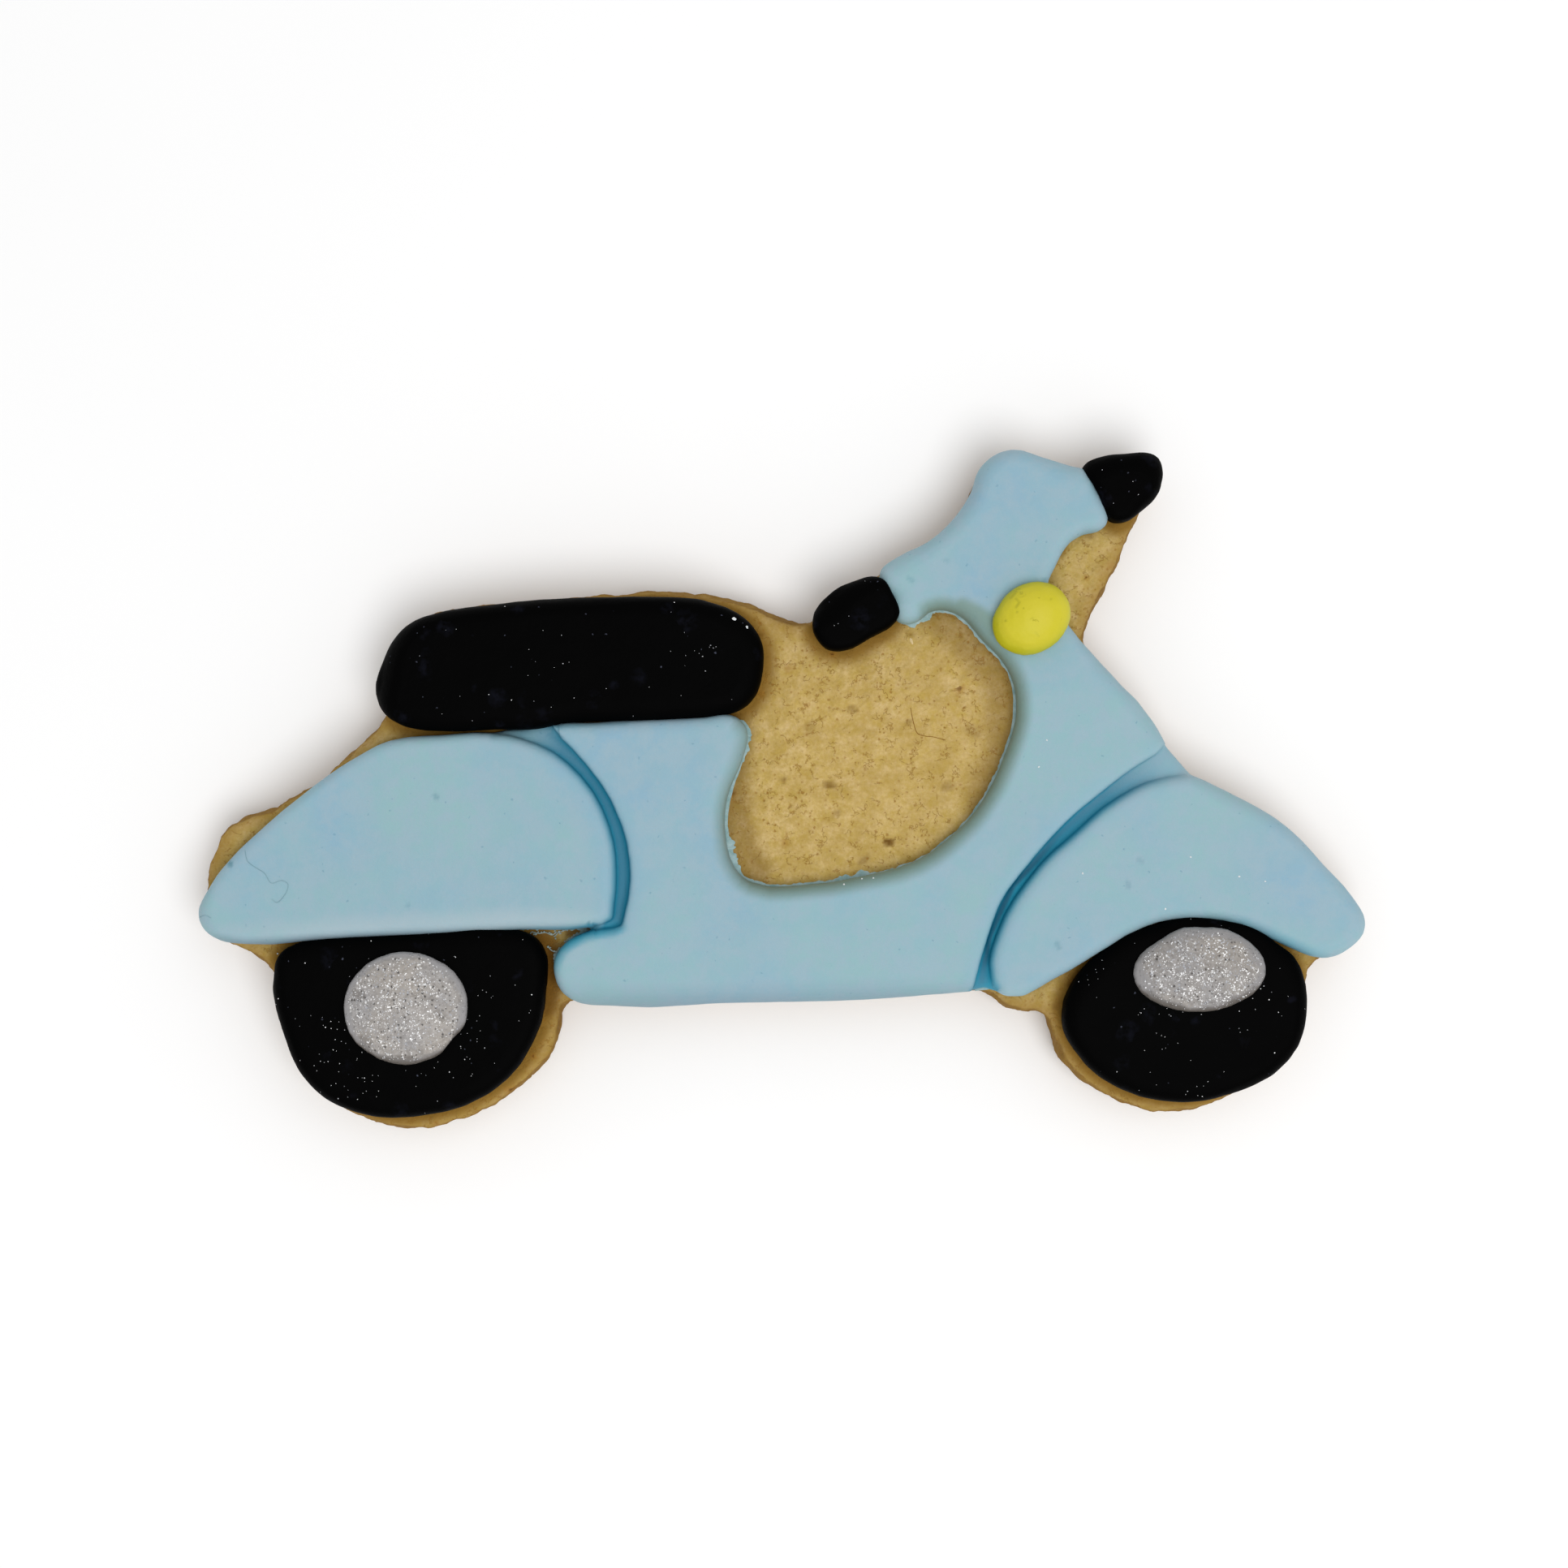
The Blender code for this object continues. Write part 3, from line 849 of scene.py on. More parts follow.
class SoftForm:
    """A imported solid, meshed again finely enough to be shaped like dough."""

    def __init__(self, node: bpy.types.Object, name: str, voxel: float) -> None:
        """Copies the solid and meshes it evenly.

        Args:
            node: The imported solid.
            name: The new piece's name.
            voxel: The size of a face, in millimetres.
        """
        self.name = name
        self.node = node.name
        self.low, self.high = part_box(node.name)
        copy = bpy.data.objects.new(name + "_rough", self.merged(node.data))
        bpy.context.scene.collection.objects.link(copy)
        remesh = copy.modifiers.new("even mesh", "REMESH")
        remesh.mode = "VOXEL"
        remesh.voxel_size = voxel * MM
        bpy.context.view_layer.update()
        graph = bpy.context.evaluated_depsgraph_get()
        self.mesh = bpy.data.meshes.new_from_object(copy.evaluated_get(graph))
        self.mesh.name = name
        rough = copy.data
        bpy.data.objects.remove(copy)
        bpy.data.meshes.remove(rough)
        self.form = bmesh.new()
        self.form.from_mesh(self.mesh)

    @staticmethod
    def merged(mesh: bpy.types.Mesh) -> bpy.types.Mesh:
        """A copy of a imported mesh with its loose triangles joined."""
        joined = mesh.copy()
        form = bmesh.new()
        form.from_mesh(joined)
        bmesh.ops.remove_doubles(form, verts=form.verts, dist=0.001 * MM)
        form.to_mesh(joined)
        form.free()
        return joined

    def relax(self, times: int) -> None:
        """Softens the edges.

        Args:
            times: How many times each vertex moves towards its neighbours.
        """
        for _ in range(times):
            bmesh.ops.smooth_vert(self.form, verts=self.form.verts[:], factor=0.5,
                                  use_axis_x=True, use_axis_y=True, use_axis_z=True)
        self.form.normal_update()

    def press_foot(self, bend: float, foot: float) -> None:
        """Presses the lowest part of the piece into the dough that carries it.

        Args:
            bend: The height above which nothing moves, in millimetres.
            foot: The height of the base afterwards.
        """
        for vert in self.form.verts:
            if vert.co.z < bend * MM:
                share = (bend * MM - vert.co.z) / (bend * MM - self.low.z)
                vert.co.z = (bend - share * (bend - foot)) * MM
        self.form.normal_update()

    def reach_down(self, to: float) -> None:
        """Stretches the piece so that its base meets what carries it.

        Args:
            to: The height of the base, in metres.
        """
        stretch = (self.high.z - to) / (self.high.z - self.low.z)
        for vert in self.form.verts:
            vert.co.z = self.high.z - (self.high.z - vert.co.z) * stretch

    def spread(self, walls: Walls, reach: Callable[[Vector], float]) -> None:
        """Lets the sides bulge outwards, as soft fondant does.

        Args:
            walls: The piece's sides.
            reach: How far they bulge at a place on them, in millimetres.
        """
        for vert in self.form.verts:
            spot = walls.nearest(vert.co)
            share = 1 - smooth_step(0.0, 1.3, spot.away)
            if share > 0.0:
                vert.co += spot.outward * reach(spot.place) * share * MM

    def pull(self, pulls: Iterable[Pull]) -> None:
        """Pushes parts of the outline about, each smoothly over its radius."""
        for pull in pulls:
            for vert in self.form.verts:
                away = math.hypot(vert.co.x / MM - pull.x, vert.co.y / MM - pull.y)
                if away < pull.radius:
                    share = 1 - smooth_step(0.0, pull.radius, away)
                    vert.co.x += share * pull.east * MM
                    vert.co.y += share * pull.north * MM

    def droop(self, edge: BiscuitEdge, share: float) -> None:
        """Lets the piece sag where nothing carries it.

        Args:
            edge: Where the biscuit ends.
            share: How much it sags for each millimetre that it sticks out, with its square root.
        """
        for vert in self.form.verts:
            out = edge.overhang(vert.co) / MM
            vert.co.z -= min(share * out ** 1.5, 1.0) * MM

    def ripple(self, layers: Iterable[Ripple], share: Callable[[Vert], float]) -> None:
        """Makes the surface uneven.

        Args:
            layers: The layers of unevenness.
            share: How much of them each vertex gets.
        """
        self.form.normal_update()
        layers = list(layers)
        shifts = []
        for vert in self.form.verts:
            rise = share(vert) * sum(layer.at(vert.co) for layer in layers)
            shifts.append(vert.normal * rise)
        for vert, shift in zip(self.form.verts, shifts):
            vert.co += shift
        self.form.normal_update()

    def hold(self, name: str, value: Callable[[Vert], float]) -> None:
        """Stores a value at each vertex for the material.

        Args:
            name: The attribute's name.
            value: What each vertex gets.
        """
        layer = self.form.verts.layers.float.new(name)
        for vert in self.form.verts:
            vert[layer] = value(vert)

    def hold_list(self, name: str, values: Sequence[float]) -> None:
        """Stores a list of values, one for each vertex in order."""
        layer = self.form.verts.layers.float.new(name)
        for vert, value in zip(self.form.verts, values):
            vert[layer] = value

    def tree(self) -> BVHTree:
        """A search tree of the surface as it is now."""
        return BVHTree.FromBMesh(self.form)

    def rims(self) -> list[float]:
        """How much of an outer edge each vertex lies on, from 0 to 1."""
        raw = []
        for vert in self.form.verts:
            bend = 0.0
            for link in vert.link_edges:
                span = link.other_vert(vert).co - vert.co
                bend -= vert.normal.dot(span) / span.length
            raw.append(bend / max(len(vert.link_edges), 1))
        self.form.verts.index_update()
        for _ in range(3):
            raw = [
                (raw[v.index] + sum(raw[e.other_vert(v).index] for e in v.link_edges))
                / (1 + len(v.link_edges))
                for v in self.form.verts
            ]
        return [smooth_step(0.04, 0.22, value) for value in raw]

    def settle(self, material: bpy.types.Material, slot: Slot) -> bpy.types.Object:
        """Turns the form into a finished piece that stands for its solid.

        Args:
            material: The piece's material.
            slot: The record's slot that it takes its finish from. It is not used.

        Returns:
            The piece.
        """
        self.form.to_mesh(self.mesh)
        self.form.free()
        self.mesh.materials.clear()
        self.mesh.materials.append(material)
        self.mesh.shade_smooth()
        piece = bpy.data.objects.new(self.name, self.mesh)
        bpy.context.scene.collection.objects.link(piece)
        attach(piece, BODY)
        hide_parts(self.node)
        LOG.info("%s: %d faces", self.name, len(self.mesh.polygons))
        return piece


class Debris:
    """Many small solids that are joined in one piece, such as glitter, lint or crumbs."""

    def __init__(self, name: str) -> None:
        """Starts an empty piece with this name."""
        self.name = name
        self.form = bmesh.new()
        self.whole = bmesh.new()

    def _pour(self) -> None:
        """Adds what is being made to the whole, which keeps the operators quick."""
        bmesh.ops.recalc_face_normals(self.form, faces=self.form.faces)
        portion = bpy.data.meshes.new(self.name + "_portion")
        self.form.to_mesh(portion)
        self.whole.from_mesh(portion)
        bpy.data.meshes.remove(portion)
        self.form.clear()

    def flake(self, place: Vector, normal: Vector, radius: float, chance: random.Random,
              thickness: float = 0.03, sides: int = 5) -> None:
        """Lays a small plate on a surface.

        Args:
            place: Where it lies, in metres.
            normal: Which way the surface faces.
            radius: Its radius, in millimetres.
            chance: Turns and tilts it.
            thickness: Its thickness, in millimetres.
            sides: How many corners it has.
        """
        tilt = Vector((chance.uniform(-0.5, 0.5), chance.uniform(-0.5, 0.5), 1.0)).normalized()
        turn = (
            Matrix.Translation(place + normal * thickness * MM / 2)
            @ normal.to_track_quat("Z", "Y").to_matrix().to_4x4()
            @ tilt.to_track_quat("Z", "Y").to_matrix().to_4x4()
            @ Matrix.Rotation(chance.uniform(0, math.tau), 4, "Z")
            @ Matrix.Diagonal((1.0, chance.uniform(0.6, 1.0), 1.0, 1.0))
        )
        bmesh.ops.create_cone(self.form, cap_ends=True, segments=sides, radius1=radius * MM,
                              radius2=radius * 0.85 * MM, depth=thickness * MM, matrix=turn)
        if len(self.form.verts) > 1500:
            self._pour()

    def thread(self, path: Sequence[Vector], radius: float) -> None:
        """Lays a fine thread along a path.

        Args:
            path: The places that it passes, in metres.
            radius: Its radius, in millimetres.
        """
        heading = (path[1] - path[0]).normalized()
        turn = Matrix.Translation(path[0]) @ heading.to_track_quat("Z", "Y").to_matrix().to_4x4()
        made = bmesh.ops.create_circle(self.form, cap_ends=True, segments=5, radius=radius * MM,
                                       matrix=turn)
        end = made["verts"][0].link_faces[0]
        for before, place, after in zip(path, path[1:], [*path[2:], path[-1]]):
            pulled = bmesh.ops.extrude_face_region(self.form, geom=[end])["geom"]
            verts = [item for item in pulled if isinstance(item, Vert)]
            end = next(item for item in pulled if isinstance(item, bmesh.types.BMFace))
            bmesh.ops.translate(self.form, verts=verts, vec=place - before)
            ahead = (after - before).normalized()
            bmesh.ops.rotate(self.form, verts=verts, cent=place,
                             matrix=heading.rotation_difference(ahead).to_matrix())
            heading = ahead

    def crumb(self, place: Vector, size: Vector, chance: random.Random) -> None:
        """Drops a small uneven lump.

        Args:
            place: Its middle, in metres.
            size: Its radius along each axis, in millimetres.
            chance: Turns it and makes it uneven.
        """
        turn = (
            Matrix.Translation(place)
            @ Matrix.Rotation(chance.uniform(0, math.tau), 4, "Z")
            @ Matrix.Diagonal((size.x * MM, size.y * MM, size.z * MM, 1.0))
        )
        made = bmesh.ops.create_icosphere(self.form, subdivisions=1, radius=1.0, matrix=turn)
        for vert in made["verts"]:
            vert.co = place + (vert.co - place) * chance.uniform(0.7, 1.15)

    def settle(self, material: bpy.types.Material, slot: Slot) -> bpy.types.Object:
        """Turns the debris into a finished piece.

        Args:
            material: The piece's material.
            slot: The record's slot that it takes its finish from. It is not used.

        Returns:
            The piece.
        """
        self._pour()
        mesh = bpy.data.meshes.new(self.name)
        self.whole.to_mesh(mesh)
        self.whole.free()
        self.form.free()
        mesh.materials.append(material)
        piece = bpy.data.objects.new(self.name, mesh)
        bpy.context.scene.collection.objects.link(piece)
        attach(piece, BODY)
        LOG.info("%s: %d faces", self.name, len(mesh.polygons))
        return piece


@dataclass(frozen=True)
class PhotoView:
    """The photograph's camera, straight above the cookie, and its pixels."""

    across: float = 0.16
    along: float = 0.44
    height: float = 269.5
    plane: float = 9.5
    pixel: float = 0.08
    middle: float = 966.0
    sensor: float = 36.0

    def eye(self) -> Vector:
        """The camera's place, in metres."""
        return Vector((self.across, self.along, self.height)) * MM

    def spot(self, column: float, row: float, height: float | None = None) -> Vector:
        """The place that a pixel shows at a height.

        Args:
            column: The pixel's column in the photograph.
            row: The pixel's row.
            height: The height in millimetres, the icing's face by default.

        Returns:
            The place, in metres.
        """
        level = self.plane if height is None else height
        scale = self.pixel * (self.height - level) / (self.height - self.plane)
        return Vector((self.across + (column - self.middle) * scale,
                       self.along - (row - self.middle) * scale, level)) * MM

    def shown(self, place: Vector) -> Point:
        """The pixel that shows a place.

        Args:
            place: The place, in metres.

        Returns:
            The pixel's column and row in the photograph.
        """
        scale = self.pixel * (self.height - place.z / MM) / (self.height - self.plane)
        return (self.middle + (place.x / MM - self.across) / scale,
                self.middle - (place.y / MM - self.along) / scale)

    def on(self, surface: BVHTree, column: float, row: float) -> tuple[Vector, Vector] | None:
        """Where a pixel's line of sight meets a surface.

        Args:
            surface: The surface's search tree.
            column: The pixel's column in the photograph.
            row: The pixel's row.

        Returns:
            The place and the way the surface faces there, or None where it misses.
        """
        sight = (self.spot(column, row) - self.eye()).normalized()
        place, normal, _, _ = surface.ray_cast(self.eye(), sight)
        return None if place is None else (place, normal)

    def camera(self) -> bpy.types.Object:
        """Makes the camera."""
        data = bpy.data.cameras.new("photo camera")
        data.sensor_width = self.sensor
        data.sensor_height = self.sensor
        half = self.middle * self.pixel
        data.lens = self.sensor / 2 * (self.height - self.plane) / half
        data.clip_start = 0.01
        camera = bpy.data.objects.new("photo camera", data)
        camera.location = self.eye()
        bpy.context.scene.collection.objects.link(camera)
        return camera


@dataclass(frozen=True)
class GrooveStop:
    """One place along a groove between two pieces of icing."""

    x: float
    y: float
    reach: float
    depth: float


@dataclass(frozen=True)
class GrooveSpot:
    """Where a place lies in a groove."""

    share: float
    depth: float
    side: float
    away: float
    reach: float


class Groove:
    """A groove in the blue icing, or a soft edge of it, along which shade is painted, mostly teal, and
    along the rear panel's rim a paler highlight.
    """

    def __init__(self, stops: Sequence[tuple[float, float, float, float]]) -> None:
        """Keeps the places along the groove's middle: each one's x, y, reach and depth."""
        self.stops = [GrooveStop(*stop) for stop in stops]

    def spot(self, place: Vector) -> GrooveSpot:
        """Where a place lies in the groove.

        Args:
            place: The place, in metres.

        Returns:
            How much it is inside, from 0 to 1, the depth of its painted shade there, and in
            millimetres how far it is to the left of the middle, how far it is from it, and the
            groove's reach there.
        """
        x, y = place.x / MM, place.y / MM
        best = (math.inf, 0.0, 1.0, 0.0)
        for first, second in zip(self.stops, self.stops[1:]):
            dx, dy = second.x - first.x, second.y - first.y
            along = ((x - first.x) * dx + (y - first.y) * dy) / (dx * dx + dy * dy)
            along = min(max(along, 0.0), 1.0)
            east, north = x - first.x - along * dx, y - first.y - along * dy
            away = math.hypot(east, north)
            if away < best[0]:
                side = (dx * north - dy * east) / math.hypot(dx, dy)
                reach = first.reach + along * (second.reach - first.reach)
                best = (away, side, reach, first.depth + along * (second.depth - first.depth))
        away, side, reach, depth = best
        return GrooveSpot(1 - smooth_step(0.8, 1.1, away / reach), depth, side, away, reach)

    def glow(self, place: Vector) -> float:
        """The depth of its painted shade, or of the panel rim's painted highlight, at a place, where it
        fades evenly out from the line.
        """
        spot = self.spot(place)
        return spot.depth * (1 - smooth_step(0.0, 1.0, spot.away / spot.reach))


@dataclass
class Biscuit:
    """The baked dough under the icing: uneven, cracked and ragged at its edge."""

    voxel: float = 0.36
    softening: int = 2
    pit_spacing: float = 2.1
    pit_depth: float = 0.16
    swell: Ripple = Ripple(17.0, 0.16, 3.1)
    lumps: Ripple = Ripple(2.6, 0.10, 7.7, 3)
    crumb: Ripple = Ripple(0.95, 0.11, 1.9, 2)
    ragged: Ripple = Ripple(3.4, 0.34, 5.3, 4, -0.45)
    pulls: tuple[Pull, ...] = (
        Pull(-56.0, -7.5, 4.0, -0.45, 0.1), Pull(-55.0, -4.8, 3.0, -0.35, 0.2),
        Pull(-49.8, -1.8, 2.8, -0.1, 0.35), Pull(-46.0, 0.6, 2.6, 0.25, -0.3))
    # Darkest dough: painted shade in the gaps beside the tyres and the right grip and along both sides of
    # the opening, and a few scorched spots.
    scorches_and_shadows: tuple[Stroke, ...] = (
        Stroke(((668, 1150), (680, 1172), (680, 1205), (676, 1240)), 20.0, 0.6),
        Stroke(((678, 1172), (681, 1205)), 9.0, 0.85),
        Stroke(((700, 1150), (725, 1142)), 7.0, 0.7),
        Stroke(((655, 1152), (672, 1154)), 5.0, 0.6),
        Stroke(((1321, 1214), (1331, 1200)), 9.0, 0.75),
        Stroke(((1300, 1241), (1304, 1236)), 6.0, 0.35),
        Stroke(((1337, 656), (1345, 661)), 5.0, 0.4), Stroke(((1313, 672), (1306, 687)), 4.0, 0.35),
        Stroke(((1140, 742), (1200, 786), (1236, 826), (1246, 880), (1240, 935), (1218, 985)), 44.0, 0.4),
        Stroke(((906, 900), (903, 960), (903, 1010), (914, 1050), (930, 1072)), 34.0, 0.42),
        Stroke(((1093, 1037), (1097, 1038)), 6.5, 0.95), Stroke(((966, 961),), 6.0, 0.6),
        Stroke(((1018, 967), (1026, 968)), 5.5, 0.65), Stroke(((1032, 1002),), 7.0, 0.4),
        Stroke(((903, 977),), 6.0, 0.9), Stroke(((1046, 872), (1054, 875)), 5.0, 0.5),
        Stroke(((1164, 970), (1171, 969)), 8.0, 0.35), Stroke(((1119, 780), (1124, 782)), 4.5, 0.45),
        Stroke(((997, 896),), 10.0, 0.25), Stroke(((1062, 1062), (1068, 1058)), 6.5, 0.4),
        Stroke(((937, 782),), 5.0, 0.5), Stroke(((1120, 890),), 6.0, 0.35),
        Stroke(((1195, 897), (1203, 905)), 9.0, 0.3), Stroke(((1220, 802), (1225, 807)), 5.0, 0.65))

    def _share_of_pit(self, place: Vector) -> float:
        """How far a place lies in one of the small pits, from 0 to 1."""
        spread, cells = noise.voronoi(place / (self.pit_spacing * MM))
        chosen = noise.noise(cells[0] * 7.3) > 0.05
        return (1 - smooth_step(0.05, 0.24, spread[0])) if chosen else 0.0

    def build(self, icing: Sequence[bpy.types.Object], finish: bpy.types.Material,
              edge: BiscuitEdge, view: PhotoView) -> tuple[bpy.types.Object, BVHTree]:
        """Makes the biscuit.

        Args:
            icing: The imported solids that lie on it.
            finish: Its material.
            edge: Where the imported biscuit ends.
            view: The photograph, whose pixels place the darkest dough.

        Returns:
            The finished piece and a search tree of its surface.
        """
        form = SoftForm(bpy.data.objects["biscuit"], "baked_biscuit", self.voxel)
        form.relax(self.softening)
        form.pull(self.pulls)
        top = form.high.z

        def broad(vert: Vert) -> float:
            """The broad swell is on the top alone."""
            return smooth_step(0.2, 0.9, vert.normal.z)

        def side(vert: Vert) -> float:
            """The ragged edge is on the sides."""
            return 1 - smooth_step(0.35, 0.85, abs(vert.normal.z))

        def upper(vert: Vert) -> float:
            """The crumb is everywhere but on the flat underside."""
            return 1.0 if vert.normal.z > -0.3 else 0.25

        form.ripple([self.swell], broad)
        form.ripple([self.ragged], side)
        form.ripple([self.lumps, self.crumb], upper)
        for vert in form.form.verts:
            if vert.normal.z > 0.4:
                vert.co.z -= self._share_of_pit(vert.co) * self.pit_depth * MM
            vert.co.z = max(vert.co.z, 0.0)
        covers = [BVHTree.FromPolygons([v.co.copy() for v in node.data.vertices],
                                       [tuple(p.vertices) for p in node.data.polygons])
                  for node in icing]

        def browning_and_shade(vert: Vert) -> float:
            """The dough is browner at its edge, sides and underside; next to the icing and the tyres the
            darkening is painted shade.
            """
            middle = Vector((vert.co.x, vert.co.y, top / 2))
            inward = (edge.tree.find_nearest(middle)[0] - middle).length / MM
            brown = 0.56 * (1 - smooth_step(0.2, 2.6, inward))
            brown = max(brown, 1.0 - smooth_step(0.3, 0.9, vert.normal.z))
            near = [(tree.find_nearest(vert.co, 3 * MM)[3] or 3 * MM) / MM for tree in covers]
            brown = max(brown, 0.35 * (1 - smooth_step(0.3, 1.1, min(near))))
            brown = max(brown, 1.0 - smooth_step(0.5, 2.2, min(near[1:])))
            return min(brown, 1.0)

        def scorch_and_shade(vert: Vert) -> float:
            """Painted shade darkens the narrow gaps and the opening's sides, and a few spots are
            scorched.
            """
            seen = view.shown(vert.co)
            return max(stroke.share(seen) for stroke in self.scorches_and_shadows)

        form.hold("browning_and_shade", browning_and_shade)
        form.hold("scorch_and_shade", scorch_and_shade)
        surface = form.tree()
        return form.settle(finish, Slot.BISCUIT), surface


@dataclass(frozen=True)
class Ring:
    """A round region of the cookie, in millimetres."""

    x: float
    y: float
    radius: float

    def holds(self, place: Vector) -> float:
        """How much a place is inside, from 1 at the middle to 0 at the radius."""
        away = math.hypot(place.x / MM - self.x, place.y / MM - self.y)
        return 1 - smooth_step(0.55 * self.radius, self.radius, away)

    def faces(self, spot: WallSpot) -> float:
        """How much a side looks towards the middle, and is near enough to be part of its edge."""
        inward = Vector((self.x * MM - spot.place.x, self.y * MM - spot.place.y, 0.0))
        if inward.length / MM > self.radius:
            return 0.0
        return smooth_step(0.0, 0.5, spot.outward.dot(inward.normalized()))


OPENING = Ring(8.5, 3.5, 17.6)


@dataclass
class BlueSheet:
    """The pale blue icing: rear panel, body, leg shield and front mudguard in one soft sheet."""

    voxel: float = 0.26
    softening: int = 3
    last_softening: int = 2
    foot: float = ICING_FOOT
    bend: float = 7.6
    groove_depth: float = 1.7
    groove_level: float = 0.75
    sag: float = 0.38
    rounding: float = 1.0
    opening_rounding: float = 1.45
    groove_rounding: float = 1.05
    body_lean: float = 0.3
    mudguard_lean: float = 0.12
    bulge: float = 0.12
    shade_reach: float = 1.6
    shade_strength: float = 0.40
    handlebar_foot: float = 14.0
    swell: Ripple = Ripple(19.0, 0.16, 2.7)
    dents: Ripple = Ripple(4.5, 0.05, 8.1)
    by_seat: Ring = Ring(-14.0, 6.8, 12.5)
    by_left_grip: Ring = Ring(11.6, 18.4, 3.2)
    by_right_grip: Ring = Ring(30.6, 29.4, 3.2)
    by_leg_shield: Ring = Ring(36.0, 5.0, 6.0)
    pulls: tuple[Pull, ...] = (
        Pull(32.0, 26.2, 2.5, 0.4, -0.3), Pull(56.5, -13.4, 5.0, 0.25, -0.1),
        Pull(-57.4, -12.5, 4.0, -0.2, 0.0), Pull(-22.0, 6.0, 4.0, 0.0, 0.3),
        Pull(22.9, 7.6, 6.0, 0.28, 0.0), Pull(-5.2, -1.2, 5.5, -0.28, 0.0),
        Pull(40.4, 1.3, 3.2, 0.2, 0.25))
    # Smudges, and painted shadow along the seat's lower edge and in the step below the rear panel.
    smudges_and_shadows: tuple[Stroke, ...] = (
        Stroke(((1403, 1059), (1407, 1062)), 4.5, 0.25),
        Stroke(((1389, 1087), (1391, 1093)), 4.5, 0.3),
        Stroke(((1302, 1162), (1305, 1168)), 4.5, 0.35),
        Stroke(((1164, 690), (1168, 691)), 4.0, 0.2),
        Stroke(((1287, 715),), 4.5, 0.35),
        Stroke(((1119, 712), (1125, 716)), 4.0, 0.3),
        Stroke(((536, 980), (538, 983)), 4.5, 0.45),
        Stroke(((503, 1116),), 4.5, 0.3),
        Stroke(((677, 905), (690, 914), (703, 924)), 5.0, 0.4),
        Stroke(((281, 1060), (284, 1065)), 4.5, 0.8),
        Stroke(((690, 893), (720, 890), (770, 888)), 8.0, 0.5),
        Stroke(((725, 1139), (730, 1144)), 4.0, 1.0))
    # Painted shade on the icing between the opening and the headlight.
    lamp_side: Stroke = Stroke(((1186, 748), (1202, 756), (1214, 764), (1222, 776)), 17.0, 0.85)
    # Lines along which light and shade are painted: grey shade along the body's lower edge (sill) and the
    # rear panel's lower edge, a paler highlight along the panel's rim, and teal shade in the grooves, at
    # the tail's step, under the rear panel and along the mudguard's arch.
    sill: Groove = Groove([
        (-21.5, -20.3, 2.0, 0.10), (-17.0, -21.6, 2.8, 0.42),
        (-5.0, -21.5, 2.8, 0.42), (11.0, -21.1, 2.8, 0.42),
        (18.6, -20.6, 2.4, 0.25)])
    panel_rim: Groove = Groove([
        (-55.0, -14.0, 1.2, 0.2), (-45.0, -13.9, 1.9, 0.75),
        (-37.0, -13.5, 1.9, 0.8), (-26.0, -12.9, 1.9, 0.8),
        (-18.5, -12.7, 1.4, 0.4)])
    panel_edge: Groove = Groove([
        (-56.5, -14.6, 0.8, 0.3), (-53.1, -15.4, 1.0, 0.7),
        (-45.1, -14.9, 0.9, 0.7), (-37.1, -14.5, 0.7, 0.45),
        (-25.9, -13.9, 0.6, 0.3), (-18.3, -13.6, 0.6, 0.3)])
    rear: Groove = Groove([
        (-27.5, 5.5, 1.4, 0.16), (-24.6, 5.1, 1.5, 0.36),
        (-21.7, 3.9, 1.5, 0.85), (-19.0, 0.9, 1.5, 1.0),
        (-16.7, -3.7, 1.5, 1.0), (-15.8, -8.5, 1.5, 1.0),
        (-16.0, -12.6, 1.5, 1.0), (-16.6, -14.0, 1.3, 0.9)])
    front: Groove = Groove([
        (39.6, 2.6, 1.6, 0.0), (36.6, 2.0, 1.9, 0.22),
        (32.1, -0.7, 1.9, 0.84), (27.3, -4.8, 1.9, 1.05),
        (23.1, -9.8, 1.9, 1.2), (20.9, -14.7, 1.9, 1.25),
        (20.1, -17.6, 1.8, 1.08), (19.9, -19.6, 1.6, 0.9)])
    tail: Groove = Groove([
        (-16.2, -13.8, 1.2, 0.7), (-19.5, -14.3, 1.3, 0.95),
        (-21.9, -15.9, 1.2, 0.8), (-22.6, -18.2, 1.0, 0.2)])
    panel_foot: Groove = Groove([
        (-28.0, -14.2, 0.55, 0.0), (-23.0, -14.0, 0.6, 0.4),
        (-18.6, -13.7, 0.6, 0.8)])
    arch: Groove = Groove([
        (39.5, -12.8, 0.8, 0.1), (45.3, -13.5, 1.5, 0.35),
        (50.1, -15.7, 1.7, 0.5), (53.5, -16.9, 1.2, 0.2)])

